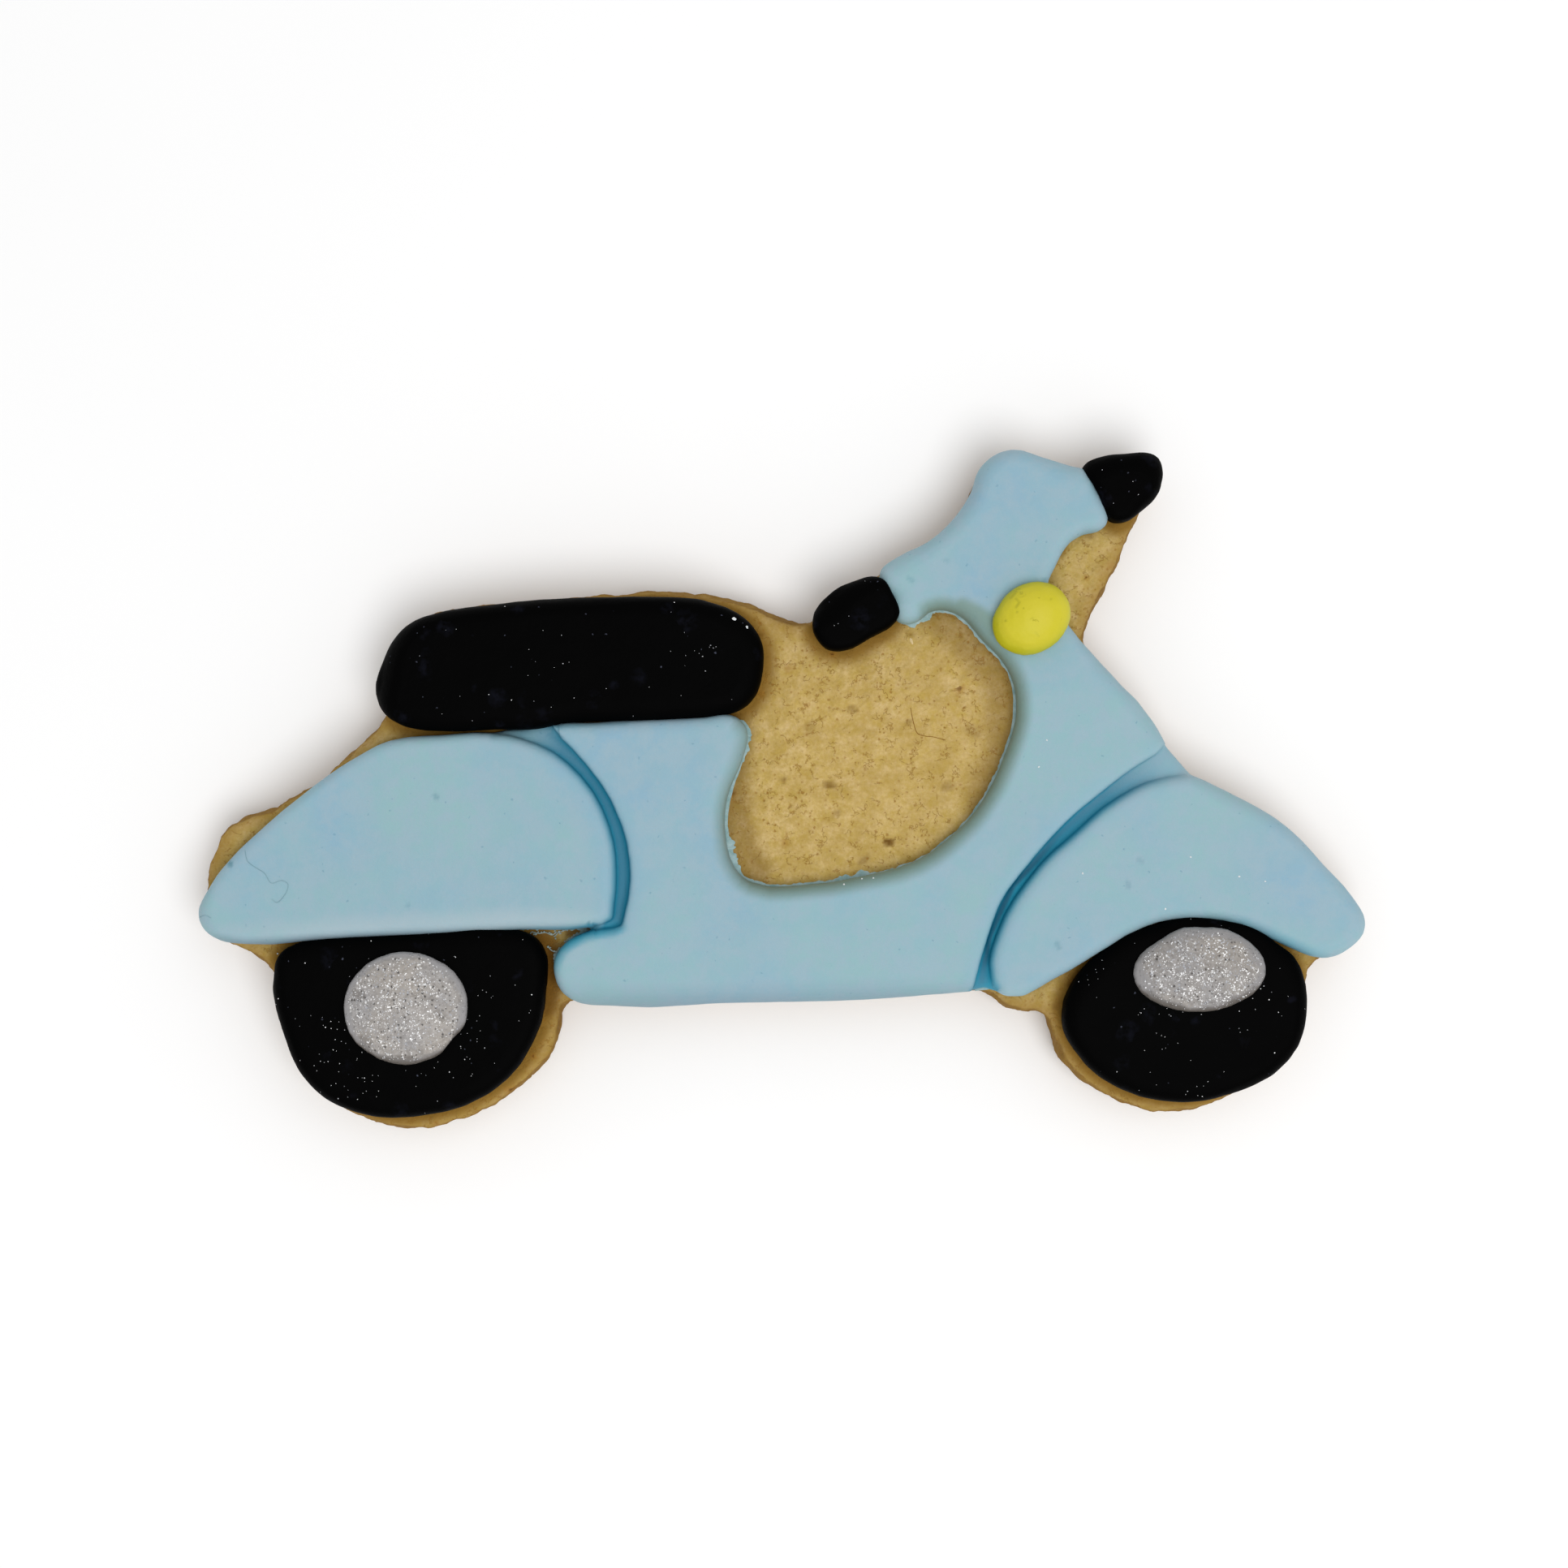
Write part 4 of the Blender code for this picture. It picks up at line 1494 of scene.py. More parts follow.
    def _colours(self, vert: Vert, top: float) -> tuple[float, float, float]:
        """How much shade the grooves paint on the icing at a vertex.

        Args:
            vert: The vertex.
            top: The height of the icing's face, in metres.

        Returns:
            The painted shade: slate on a groove's floor, teal on its sides and the deepest teal in its
            creases, each from 0 to 1.
        """
        fall = (top - vert.co.z) / (self.groove_depth * MM)
        if fall < 0.01:
            return 0.0, 0.0, 0.0
        steep = 1 - smooth_step(0.80, 0.985, vert.normal.z)
        slate, teal, crease = 0.0, 0.0, 0.0
        for groove in (self.rear, self.front):
            spot = groove.spot(vert.co)
            if spot.share <= 0.0:
                continue
            colour = min(spot.depth, 1.0) * spot.share
            slate = max(slate, colour * smooth_step(0.25, 0.7, fall))
            lit = 0.65 if groove is self.front and spot.side > 0.0 else 0.5
            teal = max(teal, lit * colour * steep * smooth_step(0.03, 0.35, fall))
            if groove is self.rear:
                foot = smooth_step(0.62, 0.84, fall) * (1 - smooth_step(0.93, 0.995, vert.normal.z))
                crease = max(crease, 0.15 * colour * foot)
                continue
            line = -0.15 - 0.3 * smooth_step(1.1, 1.25, spot.depth)
            low = smooth_step(0.3, 0.6, fall)
            deep = smooth_step(0.98, 1.2, spot.depth) * spot.share * low
            shore = colour * low * smooth_step(line, line + 0.5, spot.side)
            teal = max(teal, (0.35 + 0.45 * deep) * shore)
            crease = max(crease, deep * (1 - smooth_step(0.1, 0.55, abs(spot.side - line))))
        spot = self.panel_foot.spot(vert.co)
        teal = max(teal, spot.depth * spot.share * smooth_step(0.08, 0.4, fall))
        for groove in (self.tail, self.arch):
            teal = max(teal, groove.glow(vert.co) * smooth_step(0.0, 0.04, fall))
        return slate, teal, crease

    def _halo(self, vert: Vert) -> float:
        """How much painted shade, a little darker and bluer, lies on the icing beside the grooves, from 0
        to 1.
        """
        glow = 0.0
        for groove in (self.rear, self.front):
            spot = groove.spot(vert.co)
            glow = max(glow, min(spot.depth, 1.0) * (1 - smooth_step(1.2, 3.0, spot.away)))
        return 0.22 * glow

    def _reach(self, place: Vector) -> float:
        """How far the icing's sides bulge at a place, in millimetres."""
        more = 0.30 * self.by_seat.holds(place)
        more = max(more, 0.40 * self.by_left_grip.holds(place))
        more = max(more, 0.22 * self.by_right_grip.holds(place))
        more = max(more, 0.22 * self.by_leg_shield.holds(place))
        return self.bulge + more

    def _round_grooves(self, form: SoftForm, walls: Walls, top: float) -> None:
        """Softens the mudguard's and the rear panel's side of the grooves.

        Args:
            form: The sheet.
            walls: The sides at a level between the grooves' floor and the face.
            top: The height of the icing's face, in metres.
        """
        floor = top - self.groove_depth * MM
        for vert in form.form.verts:
            if vert.co.z < floor + 0.15 * MM:
                continue
            spot = walls.nearest(vert.co)
            if spot.away > self.groove_rounding:
                continue
            front, rear = self.front.spot(spot.place), self.rear.spot(spot.place)
            lean = self.body_lean * smooth_step(-11.5, -7.0, spot.place.y / MM)
            if front.side > 0.0:
                lean = self.mudguard_lean * smooth_step(-4.0, -7.0, spot.place.y / MM)
            near = 1 - smooth_step(0.4, self.groove_rounding, spot.away)
            vert.co += spot.outward * lean * front.share * near * MM
            soft = max(front.share * (front.side > 0.0), 0.8 * rear.share * (rear.side < 0.0))
            if soft <= 0.0:
                continue
            radius = self.groove_rounding
            short = max(radius - spot.away, 0.0)
            drop = soft * (radius - math.sqrt(max(radius * radius - short * short, 0.0)))
            vert.co.z = floor + (vert.co.z - floor) * (1 - drop / self.groove_depth)

    def _round_face(self, form: SoftForm, walls: Walls, top: float) -> list[float]:
        """Rounds the face's edges, most of all at the opening.

        Args:
            form: The sheet.
            walls: The sheet's sides.
            top: The height of the icing's face, in metres.

        Returns:
            How grey-green the opening shades each vertex, from 0 to 1.
        """
        shade = []
        for vert in form.form.verts:
            spot = walls.nearest(vert.co)
            share = OPENING.faces(spot)
            radius = self.rounding + (self.opening_rounding - self.rounding) * share
            short = max(radius - spot.away, 0.0)
            drop = radius - math.sqrt(max(radius * radius - short * short, 0.0))
            height = vert.co.z / MM - self.foot
            vert.co.z = (self.foot + height * (1 - drop / (top / MM - self.foot))) * MM
            lit = 1 - smooth_step(0.2, 0.9, spot.outward.x)
            band = 1 - smooth_step(0.3, self.shade_reach, spot.away)
            if spot.place.y > self.handlebar_foot * MM:
                band *= smooth_step(13.3, 14.1, spot.place.x / MM)
            shade.append(share * band * self.shade_strength * (1 + lit))
        return shade

    def build(self, finish: bpy.types.Material, edge: BiscuitEdge,
              view: PhotoView) -> tuple[bpy.types.Object, BVHTree]:
        """Makes the sheet.

        Args:
            finish: Its material.
            edge: Where the biscuit ends under it.
            view: The photograph, whose pixels place the smudges, the painted shadows and the painted
                shade beside the lamp.

        Returns:
            The finished piece and a search tree of its surface.
        """
        node = bpy.data.objects["blue_icing"]
        form = SoftForm(node, "blue_icing_sheet", self.voxel)
        top = form.high.z
        walls = Walls(node, form.low.z + 0.2 * MM)
        form.relax(self.softening)
        form.press_foot(self.bend, self.foot)
        self._round_grooves(form, Walls(node, top - self.groove_level * MM), top)
        shade = self._round_face(form, walls, top)
        form.relax(self.last_softening)
        colours = [self._colours(vert, top) for vert in form.form.verts]
        halo = [self._halo(vert) for vert in form.form.verts]
        panel = [self.panel_rim.glow(vert.co) for vert in form.form.verts]
        # Painted shade along the lower edges of the body and the rear panel.
        lower_edge_shade = [max(self.sill.glow(vert.co), self.panel_edge.glow(vert.co))
               for vert in form.form.verts]
        form.spread(walls, self._reach)
        form.pull(self.pulls)
        form.form.normal_update()
        # The rim value is a painted highlight on the outer edges and on the rear panel's rim.
        rims = [max(rim, glow) for rim, glow in zip(form.rims(), panel)]

        def face(vert: Vert) -> float:
            """The swell fades towards the foot."""
            return smooth_step(self.foot * MM, self.bend * MM, vert.co.z)

        form.ripple([self.swell, self.dents], face)
        form.droop(edge, self.sag)
        # The grooves' painted shade: slate, teal and deep teal.
        for place, name in enumerate(("hollow", "teal_shade", "crease")):
            form.hold_list(name, [colour[place] for colour in colours])
        form.hold_list("shade", [max(own, self.lamp_side.share(view.shown(vert.co)))
                                 for own, vert in zip(shade, form.form.verts)])
        form.hold_list("rim", rims)
        form.hold_list("halo", halo)
        form.hold_list("lower_edge_shade", lower_edge_shade)

        def smudge_and_shadow(vert: Vert) -> float:
            """The strongest mark at a vertex, smudges and painted shadows alike."""
            seen = view.shown(vert.co)
            marked = max(stroke.share(seen) for stroke in self.smudges_and_shadows)
            return marked * smooth_step(0.1, 0.6, vert.normal.z)

        form.hold("smudge_and_shadow", smudge_and_shadow)
        form.form.normal_update()
        surface = form.tree()
        return form.settle(finish, Slot.BLUE), surface


@dataclass(frozen=True)
class Tear:
    """A place where the torn film at the foot of the icing sticks out, or is tucked in."""

    x: float
    y: float
    radius: float
    reach: float


@dataclass
class TornFilm:
    """The thin ragged film that the cutter left at the foot of the blue icing."""

    level: float = 7.0
    step: float = 0.16
    tuck: float = 0.45
    rise: float = 0.42
    lift: float = 0.05
    deepest: float = 0.3
    carried: float = 1.1
    thickness: float = 0.07
    in_opening: float = 0.25
    elsewhere: float = 0.03
    tears: tuple[Tear, ...] = (
        Tear(-5.0, -6.4, 2.6, 0.62), Tear(6.2, -9.6, 1.0, 0.40), Tear(8.2, -9.1, 1.5, 0.40),
        Tear(14.0, 16.9, 1.9, 0.55), Tear(12.0, 16.4, 1.2, 0.35), Tear(-3.8, 4.6, 2.6, 0.22),
        Tear(22.9, 7.6, 5.0, -0.2), Tear(-5.0, -1.2, 4.5, -0.15),
        Tear(-20.3, -14.6, 2.0, 0.50), Tear(-22.4, -16.3, 1.5, 0.45), Tear(-25.0, -14.2, 2.2, 0.40))

    def _reach(self, spot: WallSpot) -> float:
        """How far the film sticks out at a place, in millimetres."""
        place = spot.place / MM
        open_share = OPENING.faces(spot)
        torn = noise.noise(place * 0.9) + 0.8 * noise.noise(place * 2.6) + 0.5 * noise.noise(place * 5.5)
        reach = self.elsewhere + (self.in_opening - self.elsewhere) * open_share
        reach *= 1.0 + 0.45 * torn
        for tear in self.tears:
            away = math.hypot(place.x - tear.x, place.y - tear.y)
            share = 1 - smooth_step(0.3, 1.0, away / tear.radius)
            reach += tear.reach * share * max(0.8 + 0.6 * torn, 0.0)
        return reach

    def build(self, dough: BVHTree, edge: BiscuitEdge, finish: bpy.types.Material) -> bpy.types.Object:
        """Makes the film.

        Args:
            dough: The biscuit's surface.
            edge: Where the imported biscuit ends.
            finish: The film's material.

        Returns:
            The finished piece.
        """
        node = bpy.data.objects["blue_icing"]
        walls = Walls(node, self.level * MM)
        debris = Debris("torn_icing_film")
        form = debris.form
        form.from_mesh(SoftForm.merged(node.data))
        bmesh.ops.bisect_plane(form, geom=form.verts[:] + form.edges[:] + form.faces[:],
                               plane_co=(0.0, 0.0, self.level * MM), plane_no=(0.0, 0.0, 1.0),
                               clear_inner=True, clear_outer=True)
        for edge_line in form.edges[:]:
            cuts = int(edge_line.calc_length() / (self.step * MM))
            if cuts > 0:
                bmesh.ops.subdivide_edges(form, edges=[edge_line], cuts=cuts)
        inner = form.verts[:]
        for vert in inner:
            if edge.overhang(vert.co) > self.carried * MM:
                form.verts.remove(vert)
        inner = form.verts[:]
        made = bmesh.ops.extrude_edge_only(form, edges=form.edges[:])["geom"]
        outer = [item for item in made if isinstance(item, Vert)]
        for verts, outside in ((inner, False), (outer, True)):
            for vert in verts:
                spot = walls.nearest(vert.co)
                shift = self._reach(spot) if outside else -self.tuck
                vert.co += spot.outward * shift * MM
                start = Vector((vert.co.x, vert.co.y, RAY_HEIGHT * MM))
                ground = dough.ray_cast(start, DOWN)[0]
                level = edge.top
                if ground is not None:
                    level = max(ground.z, edge.top - self.deepest * MM)
                vert.co.z = level + (self.lift if outside else self.rise) * MM
        bmesh.ops.delete(form, geom=[v for v in form.verts if not v.link_faces], context="VERTS")
        bmesh.ops.recalc_face_normals(form, faces=form.faces)
        bmesh.ops.solidify(form, geom=form.faces[:], thickness=self.thickness * MM)
        return debris.settle(finish, Slot.BLUE)


@dataclass
class BlackPiece:
    """One piece of black icing: the seat, a grip or a tyre."""

    node: str
    name: str
    voxel: float = 0.3
    softening: int = 4
    foot: float = ICING_FOOT
    bend: float = 7.4
    bulge: float = 0.2
    pulls: tuple[Pull, ...] = ()
    sag: float = 0.38
    swell: Ripple = Ripple(9.0, 0.12, 4.4)
    dents: Ripple = Ripple(2.2, 0.035, 6.2)

    def build(self, finish: bpy.types.Material, edge: BiscuitEdge) -> tuple[bpy.types.Object, BVHTree]:
        """Makes the piece.

        Args:
            finish: Its material.
            edge: Where the biscuit ends under it.

        Returns:
            The finished piece and a search tree of its surface.
        """
        node = bpy.data.objects[self.node]
        form = SoftForm(node, self.name, self.voxel)
        walls = Walls(node, form.low.z + 0.3 * MM)
        form.relax(self.softening)
        form.press_foot(self.bend, self.foot)
        form.spread(walls, lambda place: self.bulge)
        form.pull(self.pulls)
        form.form.normal_update()

        def face(vert: Vert) -> float:
            """The swell fades towards the foot."""
            return smooth_step(self.foot * MM, self.bend * MM, vert.co.z)

        form.ripple([self.swell, self.dents], face)
        form.droop(edge, self.sag)
        surface = form.tree()
        return form.settle(finish, Slot.BLACK), surface


@dataclass
class Hub:
    """A disc of silver icing, with a smooth rim and glitter in its middle."""

    node: str
    name: str
    voxel: float = 0.13
    softening: int = 4
    rim: float = 0.75
    foot: float = DOME_FOOT
    pulls: tuple[Pull, ...] = ()
    dirt_and_low_darkening: tuple[Stroke, ...] = ()
    grains: Ripple = Ripple(0.34, 0.06, 9.3, 2)
    swell: Ripple = Ripple(4.2, 0.18, 1.2)

    def build(self, finish: bpy.types.Material, view: PhotoView) -> tuple[bpy.types.Object, BVHTree]:
        """Makes the hub.

        Args:
            finish: Its material.
            view: The photograph, whose pixels place the dirty spots.

        Returns:
            The finished piece and a search tree of its surface.
        """
        form = SoftForm(bpy.data.objects[self.node], self.name, self.voxel)
        form.relax(self.softening)
        form.reach_down(self.foot * MM)
        centre = (form.low + form.high) / 2
        half = (form.high - form.low) / 2

        def crown(vert: Vert) -> float:
            """1 in the glittered middle and 0 on the rim."""
            x = (vert.co.x - centre.x) / half.x
            y = (vert.co.y - centre.y) / half.y
            inward = (1 - math.hypot(x, y)) * (half.x + half.y) / 2 / MM
            wobble = 0.5 * noise.noise(vert.co / (1.6 * MM))
            return smooth_step(self.rim * 0.45, self.rim * 1.25, inward + wobble)

        def dirt_and_low_darkening(vert: Vert) -> float:
            """Dirty spots, and a darker lower side."""
            seen = view.shown(vert.co)
            spots = max((stroke.share(seen) for stroke in self.dirt_and_low_darkening), default=0.0)
            low = 0.9 * smooth_step(0.15, 0.65, -vert.normal.y) * (1 - crown(vert))
            return max(spots, low)

        form.pull(self.pulls)
        form.ripple([self.swell], lambda vert: 1.0)
        form.hold("crown", crown)
        form.hold("dirt_and_low_darkening", dirt_and_low_darkening)
        form.ripple([self.grains], crown)
        surface = form.tree()
        return form.settle(finish, Slot.SILVER), surface


@dataclass
class Headlight:
    """The yellow lamp: a small oval dome with creases."""

    voxel: float = 0.13
    softening: int = 6
    foot: float = DOME_FOOT
    swell: Ripple = Ripple(3.2, 0.10, 5.9)
    dents: Ripple = Ripple(0.9, 0.02, 2.2)
    depth: float = 0.05
    creases: tuple[Stroke, ...] = (
        Stroke(((1251, 731), (1245, 737)), 2.3, 0.35),
        Stroke(((1252, 738), (1256, 742), (1252, 748)), 2.3, 0.4),
        Stroke(((1253, 754),), 2.4, 0.5),
        Stroke(((1239, 765),), 2.6, 0.5),
        Stroke(((1276, 779), (1280, 784)), 1.7, 0.2),
        Stroke(((1295, 738),), 2.2, 0.35))

    def build(self, finish: bpy.types.Material, view: PhotoView) -> bpy.types.Object:
        """Makes the lamp.

        Args:
            finish: Its material.
            view: The photograph, whose pixels place the creases.

        Returns:
            The finished piece.
        """
        form = SoftForm(bpy.data.objects["headlight"], "yellow_headlight", self.voxel)
        form.relax(self.softening)
        form.reach_down(self.foot * MM)
        form.ripple([self.swell, self.dents], lambda vert: 1.0)
        low, high = form.low.z, form.high.z

        def rim(vert: Vert) -> float:
            """Painted shade: the rim is greener and darker, most of all at its lower left."""
            drop = (high - vert.co.z) / (high - low)
            lean = 0.12 * (-vert.normal.x - vert.normal.y)
            return min(smooth_step(0.28, 0.80, drop + lean), 1.0)

        def crease(vert: Vert) -> float:
            """The deepest crease at a vertex."""
            seen = view.shown(vert.co)
            return max(stroke.share(seen) for stroke in self.creases)

        form.hold("rim", rim)
        form.hold("crease", crease)
        for vert in form.form.verts:
            vert.co.z -= crease(vert) * self.depth * MM
        return form.settle(finish, Slot.YELLOW)


@dataclass(frozen=True)
class Sprinkle:
    """A round patch of glitter, in millimetres, with the number of flakes tried."""

    x: float
    y: float
    radius: float
    count: int


@dataclass
class Glitter:
    """Loose silver glitter on the black icing and on the hubs."""

    seed: int = 29
    small: float = 0.035
    large: float = 0.075
    hub_flakes: int = 3000
    hub_small: float = 0.03
    hub_spread: float = 0.09
    sprinkles: tuple[Sprinkle, ...] = (
        Sprinkle(-36.0, -21.0, 15.0, 70), Sprinkle(-43.5, -29.0, 4.0, 26),
        Sprinkle(-33.0, -27.0, 4.0, 22), Sprinkle(-31.5, -23.0, 2.6, 12),
        Sprinkle(-46.0, -25.0, 3.5, 14), Sprinkle(-27.5, -21.0, 3.0, 10),
        Sprinkle(40.0, -24.0, 12.0, 36), Sprinkle(30.0, -18.5, 2.4, 10),
        Sprinkle(37.5, -23.5, 3.2, 14), Sprinkle(40.6, -30.0, 1.2, 7),
        Sprinkle(47.0, -22.0, 3.4, 10), Sprinkle(-21.0, 12.5, 16.0, 40),
        Sprinkle(-23.5, 13.6, 3.0, 7), Sprinkle(-9.0, 16.2, 3.5, 7), Sprinkle(-8.0, 9.6, 3.5, 5),
        Sprinkle(7.0, 17.0, 4.0, 6), Sprinkle(34.0, 30.0, 4.0, 8))

    def _drop(self, debris: Debris, surfaces: Sequence[BVHTree], sprinkle: Sprinkle,
              chance: random.Random) -> None:
        """Drops one patch of glitter.

        Args:
            debris: The piece that gets the flakes.
            surfaces: The surfaces that may catch them.
            sprinkle: The patch.
            chance: Places and turns them.
        """
        for _ in range(sprinkle.count):
            turn = chance.uniform(0, math.tau)
            away = sprinkle.radius * math.sqrt(chance.random())
            size = self.small + (self.large - self.small) * chance.random() ** 3
            start = Vector((sprinkle.x + away * math.cos(turn), sprinkle.y + away * math.sin(turn),
                            RAY_HEIGHT)) * MM
            for surface in surfaces:
                place, normal, _, _ = surface.ray_cast(start, DOWN)
                if place is not None and normal.z > 0.35:
                    debris.flake(place, normal, size, chance)
                    break

    def build(self, black: dict[str, BVHTree], silver: dict[str, BVHTree],
              finish: bpy.types.Material) -> bpy.types.Object:
        """Makes the glitter.

        Args:
            black: The black pieces' surfaces, by the name of their solid.
            silver: The hubs' surfaces, by the name of their solid.
            finish: The glitter's material.

        Returns:
            The finished piece.
        """
        chance = random.Random(self.seed)
        debris = Debris("silver_glitter")
        for sprinkle in self.sprinkles:
            self._drop(debris, list(black.values()), sprinkle, chance)
        for name, surface in silver.items():
            low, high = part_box(name)
            middle, half = (low + high) / 2, (high - low) / 2
            for _ in range(self.hub_flakes):
                x, y = chance.uniform(-1, 1), chance.uniform(-1, 1)
                if math.hypot(x, y) > 0.94 - 0.3 * chance.random() ** 2:
                    continue
                start = Vector((middle.x + x * half.x, middle.y + y * half.y, high.z + MM))
                place, normal, _, _ = surface.ray_cast(start, DOWN)
                if place is not None:
                    size = self.hub_small + self.hub_spread * chance.random() ** 3
                    debris.flake(place, normal, size, chance)
        return debris.settle(finish, Slot.SILVER)


def smooth_path(points: Sequence[Point], steps: int) -> list[Point]:
    """Points on a smooth curve through a few places.

    Args:
        points: The places that it passes.
        steps: How many points there are for each of them.

    Returns:
        The curve's points in order.
    """
    ends = [points[0], *points, points[-1]]
    curve = []
    for before, start, end, after in zip(ends, ends[1:], ends[2:], ends[3:]):
        for step in range(steps):
            along = step / steps
            curve.append(tuple(
                start[k] + 0.5 * along * (
                    end[k] - before[k]
                    + along * (2 * before[k] - 5 * start[k] + 4 * end[k] - after[k])
                    + along * along * (3 * start[k] - before[k] - 3 * end[k] + after[k]))
                for k in (0, 1)))
    curve.append(points[-1])
    return curve


@dataclass
class Scraps:
    """What lies on the cookie: shreds of icing, lint, starch, a chip of dough and a crack."""

    seed: int = 7
    shred_radius: float = 0.05
    shred_lift: float = 0.12
    hair_radius: float = 0.034
    hair_lift: float = 0.015
    crack_radius: float = 0.038
    crack_lift: float = -0.01
    chip_pixel: Point = (1123.0, 790.0)
    chip_size: tuple[float, float, float] = (0.48, 0.2, 0.1)
    starch_height: float = 0.07
    shreds: tuple[tuple[Point, ...], ...] = (
        ((655, 1148), (664, 1150), (672, 1149), (680, 1152), (686, 1148)),
        ((684, 1154), (688, 1149), (694, 1147), (702, 1144)),
        ((702, 1155), (697, 1160), (700, 1164), (694, 1169), (687, 1171)),
        ((676, 1167), (680, 1171), (686, 1173), (690, 1168)),
        ((690, 1172), (686, 1178), (684, 1186)),
        ((708, 1152), (704, 1157), (706, 1161)))
    hairs: tuple[tuple[Point, ...], ...] = (
        ((302, 1048), (305, 1061), (315, 1069), (326, 1076), (334, 1088),
         (347, 1085), (355, 1090), (352, 1101), (342, 1112), (335, 1108)),
        ((245, 1131), (252, 1128), (260, 1131)))
    crack: tuple[Point, ...] = (
        (1122, 872), (1125, 888), (1130, 903), (1140, 907), (1150, 908),
        (1165, 912))
    starch: tuple[tuple[float, float, float], ...] = (
        (1334.0, 1076.0, 0.16), (1436.0, 1120.0, 0.14), (1290.0, 912.0, 0.12),
        (1280.0, 945.0, 0.12), (1527.0, 1080.0, 0.14), (1467.0, 1056.0, 0.12),
        (1559.0, 1086.0, 0.13), (1281.0, 762.0, 0.13), (342.0, 1175.0, 0.12),
        (1040.0, 1090.0, 0.16), (1062.0, 1083.0, 0.13), (1076.0, 1082.0, 0.12),
        (904.0, 763.0, 0.28), (920.0, 773.0, 0.2))

    def _lay(self, debris: Debris, view: PhotoView, surface: BVHTree, pixels: Sequence[Point],
             radius: float, lift: float) -> list[Vector]:
        """Lays a thread along a path of the photograph's pixels.

        Args:
            debris: The piece that gets it.
            view: The photograph.
            surface: The surface that it lies on.
            pixels: Its path.
            radius: Its radius, in millimetres.
            lift: How high its middle lies above the surface, in millimetres.

        Returns:
            The thread's places.
        """
        path = []
        for column, row in smooth_path(pixels, 5):
            met = view.on(surface, column, row)
            if met is not None:
                path.append(met[0] + met[1] * lift * MM)
        if len(path) > 2:
            debris.thread(path, radius)
        return path

    def shred(self, view: PhotoView, dough: BVHTree, finish: bpy.types.Material) -> bpy.types.Object:
        """Lays the torn shreds of icing on the dough behind the footboard.

        Args:
            view: The photograph.
            dough: The biscuit's surface.
            finish: Their material.

        Returns:
            The finished piece.
        """
        chance = random.Random(self.seed)
        debris = Debris("icing_shreds")
        for pixels in self.shreds:
            path = self._lay(debris, view, dough, pixels, self.shred_radius, self.shred_lift)
            for place in path[::2]:
                shift = Vector((chance.uniform(-0.2, 0.2), chance.uniform(-0.2, 0.2), 0.02)) * MM
                debris.flake(place + shift, UP, chance.uniform(0.06, 0.15), chance,
                             thickness=0.06, sides=6)
        return debris.settle(finish, Slot.BLUE)

    def lint(self, view: PhotoView, icing: BVHTree, finish: bpy.types.Material) -> bpy.types.Object:
        """Lays the hairs of lint on the rear panel."""
        debris = Debris("lint_hairs")
        for pixels in self.hairs:
            self._lay(debris, view, icing, pixels, self.hair_radius, self.hair_lift)
        return debris.settle(finish, Slot.BLUE)

    def dough_crack(self, view: PhotoView, dough: BVHTree,
                    finish: bpy.types.Material) -> bpy.types.Object:
        """Draws the long fine crack of the dough in the opening."""
        debris = Debris("dough_crack")
        self._lay(debris, view, dough, self.crack, self.crack_radius, self.crack_lift)
        return debris.settle(finish, Slot.BISCUIT)

    def chip(self, view: PhotoView, dough: BVHTree, finish: bpy.types.Material) -> bpy.types.Object:
        """Drops the pale chip of dough under the handlebar."""
        debris = Debris("dough_chip")
        place = view.on(dough, *self.chip_pixel)[0]
        debris.crumb(place, Vector(self.chip_size), random.Random(self.seed))
        return debris.settle(finish, Slot.BISCUIT)

    def dust(self, view: PhotoView, surfaces: Sequence[BVHTree],
             finish: bpy.types.Material) -> bpy.types.Object:
        """Drops white specks of starch.

        Args:
            view: The photograph.
            surfaces: The surfaces that may carry them.
            finish: Their material.

        Returns:
            The finished piece.
        """
        chance = random.Random(self.seed)
        debris = Debris("starch_specks")
        for column, row, radius in self.starch:
            seen = [met for met in (view.on(surface, column, row) for surface in surfaces) if met]
            if seen:
                place = max((met[0] for met in seen), key=lambda spot: spot.z)
                debris.crumb(place, Vector((radius, radius * 0.8, self.starch_height)), chance)
        return debris.settle(finish, Slot.SILVER)


class LightKind(Enum):
    """Which part a lamp of the studio plays."""

    KEY = "key"
    FILL = "fill"


@dataclass(frozen=True)
class StudioLamp:
    """A large soft lamp, with its place and size in millimetres."""

    kind: LightKind
    place: tuple[float, float, float]
    size: float
    power: float


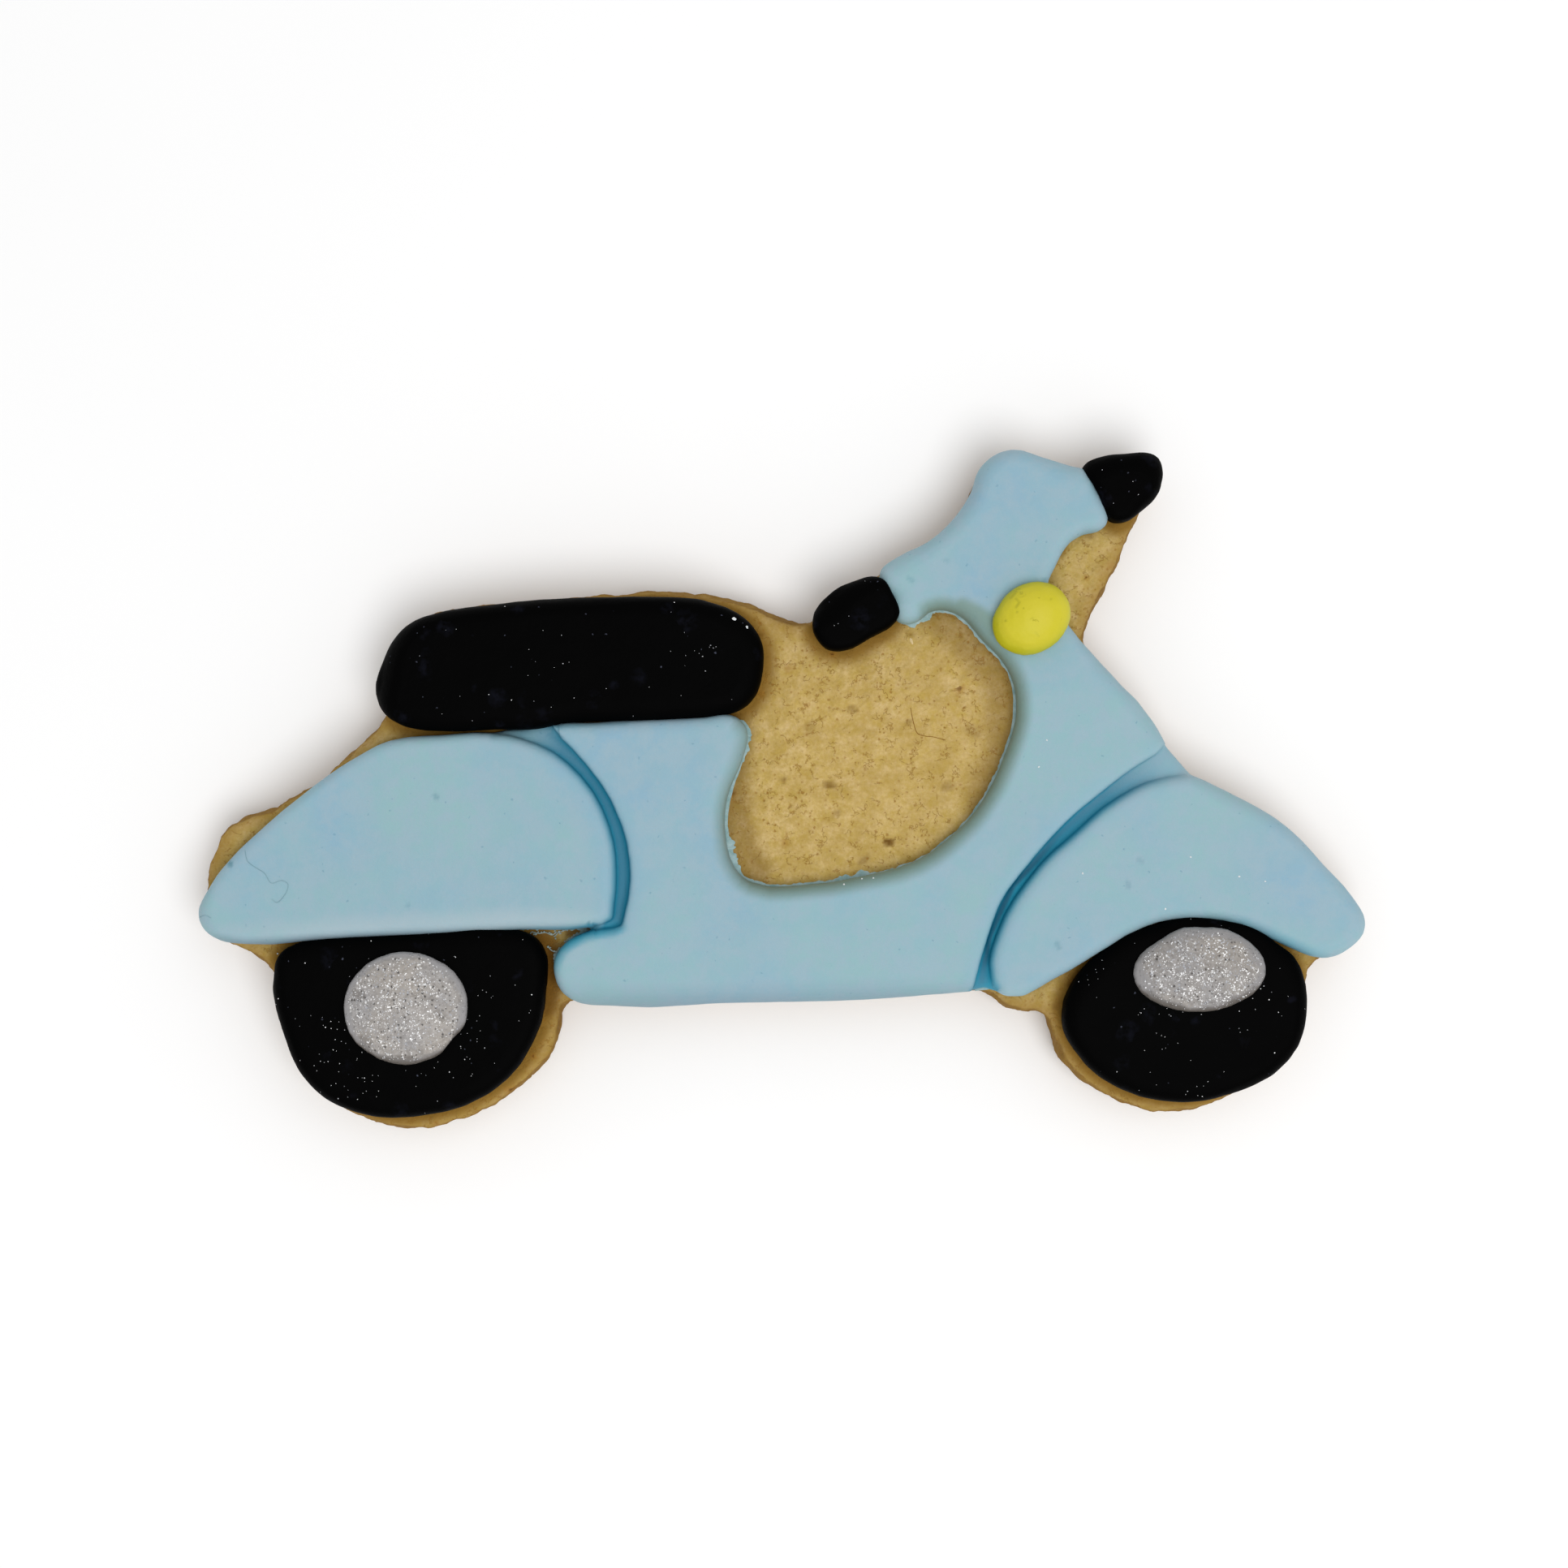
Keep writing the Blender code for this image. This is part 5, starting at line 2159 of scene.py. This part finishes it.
@dataclass
class Studio:
    """A pale floor and soft light, mostly from the photograph's lower side."""

    sky: float = 0.60
    sky_colour: Colour = (1.0, 1.0, 1.0, 1.0)
    floor_size: float = 3000.0
    floor_colour: Colour = screen(255, 255, 255)
    floor_shade: Colour = screen(252, 252, 252)
    lamps: tuple[StudioLamp, ...] = (
        StudioLamp(LightKind.KEY, (140.0, -210.0, 680.0), 460.0, 2.42),
        StudioLamp(LightKind.FILL, (240.0, 180.0, 700.0), 600.0, 0.42),
    )

    def _floor(self, groups: EffectGroups) -> None:
        """Makes the floor."""
        form = bmesh.new()
        bmesh.ops.create_grid(form, x_segments=4, y_segments=4, size=self.floor_size * MM / 2)
        mesh = bpy.data.meshes.new("studio_floor")
        form.to_mesh(mesh)
        form.free()
        finish = Finish("pale floor", Gloss(0.9, 0.1))
        patches = finish.bench.group(groups.mottle, {"Vector": finish.bench.place(), "Scale": 14.0})
        finish.feed("Base Color", finish.bench.mix(patches.outputs["Mask"], self.floor_colour,
                                                   self.floor_shade))
        mesh.materials.append(finish.material)
        floor = bpy.data.objects.new("studio_floor", mesh)
        bpy.context.scene.collection.objects.link(floor)

    def build(self, groups: EffectGroups) -> None:
        """Sets the floor, the sky and the lamps.

        Args:
            groups: The shared effects.
        """
        self._floor(groups)
        world = bpy.data.worlds.new("studio sky")
        world.use_nodes = True
        background = world.node_tree.nodes["Background"]
        background.inputs["Color"].default_value = self.sky_colour
        background.inputs["Strength"].default_value = self.sky
        bpy.context.scene.world = world
        for lamp in self.lamps:
            data = bpy.data.lights.new(lamp.kind.value, "AREA")
            data.shape = "DISK"
            data.size = lamp.size * MM
            data.energy = lamp.power
            light = bpy.data.objects.new(lamp.kind.value, data)
            light.location = Vector(lamp.place) * MM
            light.rotation_euler = (-light.location).to_track_quat("-Z", "Y").to_euler()
            bpy.context.scene.collection.objects.link(light)
        bpy.context.scene.view_settings.view_transform = "Standard"


BLACK_PIECES: tuple[BlackPiece, ...] = (
    BlackPiece("seat", "black_seat", pulls=(Pull(-24.5, 6.4, 4.5, 0.0, -0.3),)),
    BlackPiece("left_grip", "black_left_grip", softening=2, bulge=0.12,
               pulls=(Pull(9.6, 20.6, 2.6, 0.15, 0.25), Pull(11.0, 17.2, 2.6, 0.45, 0.0),
                      Pull(5.2, 13.9, 2.6, -0.15, -0.15))),
    BlackPiece("right_grip", "black_right_grip", softening=2, bulge=0.08,
               pulls=(Pull(30.6, 31.3, 3.0, -0.7, 0.35), Pull(31.8, 27.0, 3.0, -0.3, -0.15),
                      Pull(36.8, 32.9, 3.0, 0.35, 0.25), Pull(34.9, 27.4, 2.8, -0.1, 0.15),
                      Pull(33.0, 32.6, 2.4, 0.0, 0.15))),
    BlackPiece("rear_tyre", "black_rear_tyre", bulge=0.05,
               pulls=(Pull(-43.0, -14.8, 7.0, 0.0, 0.4), Pull(-35.5, -14.3, 7.0, 0.0, 0.4),
                      Pull(-28.0, -13.9, 7.0, 0.0, 0.4))),
    BlackPiece("front_tyre", "black_front_tyre",
               pulls=(Pull(34.6, -15.2, 4.0, -0.1, 0.4), Pull(40.3, -13.6, 4.5, 0.0, 0.5),
                      Pull(46.0, -14.5, 4.5, 0.05, 0.5), Pull(50.4, -17.4, 3.0, 0.1, 0.3))),
)

HUBS: tuple[Hub, ...] = (
    Hub("rear_hub", "silver_rear_hub",
        pulls=(Pull(-41.5, -25.6, 3.0, -0.1, -0.1), Pull(-31.8, -25.3, 2.4, -0.3, 0.25)),
        dirt_and_low_darkening=(Stroke(((438, 1224), (446, 1227)), 7.0, 0.45), Stroke(((532, 1230),), 7.0, 0.35),
              Stroke(((539, 1248), (545, 1254)), 8.0, 0.35), Stroke(((518, 1296),), 6.0, 0.4),
              Stroke(((488, 1305), (506, 1305)), 7.0, 0.6),
              Stroke(((446, 1279), (455, 1285)), 6.0, 0.45))),
    Hub("front_hub", "silver_front_hub", rim=1.0,
        pulls=(Pull(39.4, -14.0, 2.6, -0.1, 0.2), Pull(44.0, -13.9, 3.2, 0.1, 0.22),
               Pull(36.4, -15.2, 2.4, 0.1, -0.1)),
        dirt_and_low_darkening=(Stroke(((1400, 1184), (1428, 1163), (1453, 1145)), 5.0, 0.35),
              Stroke(((1440, 1186), (1515, 1184)), 75.0, 0.2),
              Stroke(((1488, 1192), (1504, 1194)), 10.0, 0.4))),
)


def main() -> None:
    """Builds the cookie and the studio."""
    logging.basicConfig(level=logging.INFO, format="%(name)s: %(message)s")
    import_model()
    view = PhotoView()
    bpy.context.scene.camera = view.camera()
    groups = EffectGroups()

    blue = BlueFondant().material(groups)
    black = BlackFondant().material(groups)
    silver = GlitteredFondant().material(groups)
    dough = BakedDough().material(groups)
    lemon = LampFondant().material(groups)
    glint = GlitterFilm().material(groups)
    film = TornFondant().material(groups)

    edge = BiscuitEdge(bpy.data.objects["biscuit"], BISCUIT_ROUNDING)
    carried = [bpy.data.objects[name] for name in
               ("blue_icing", "seat", "left_grip", "right_grip", "rear_tyre", "front_tyre")]
    dough_surface = Biscuit().build(carried, dough, edge, view)[1]
    blue_surface = BlueSheet().build(blue, edge, view)[1]
    TornFilm().build(dough_surface, edge, film)
    blacks = {piece.node: piece.build(black, edge)[1] for piece in BLACK_PIECES}
    silvers = {hub.node: hub.build(silver, view)[1] for hub in HUBS}
    Headlight().build(lemon, view)
    Glitter().build(blacks, silvers, glint)

    scraps = Scraps()
    shred = Scrap("shredded icing", screen(178, 190, 188), screen(140, 160, 154)).material(groups)
    scraps.shred(view, dough_surface, shred)
    lint = Scrap("lint", screen(146, 178, 186), screen(122, 156, 166)).material(groups)
    scraps.lint(view, blue_surface, lint)
    crack = Scrap("dough crack", screen(146, 106, 44), screen(120, 82, 28)).material(groups)
    scraps.dough_crack(view, dough_surface, crack)
    crumb = Scrap("dough crumb", screen(228, 206, 160), screen(204, 178, 128)).material(groups)
    scraps.chip(view, dough_surface, crumb)
    starch = Scrap("starch", screen(232, 234, 234), screen(206, 212, 214)).material(groups)
    scraps.dust(view, (blue_surface, dough_surface, blacks["seat"]), starch)
    Studio().build(groups)


if __name__ == "__main__":
    main()
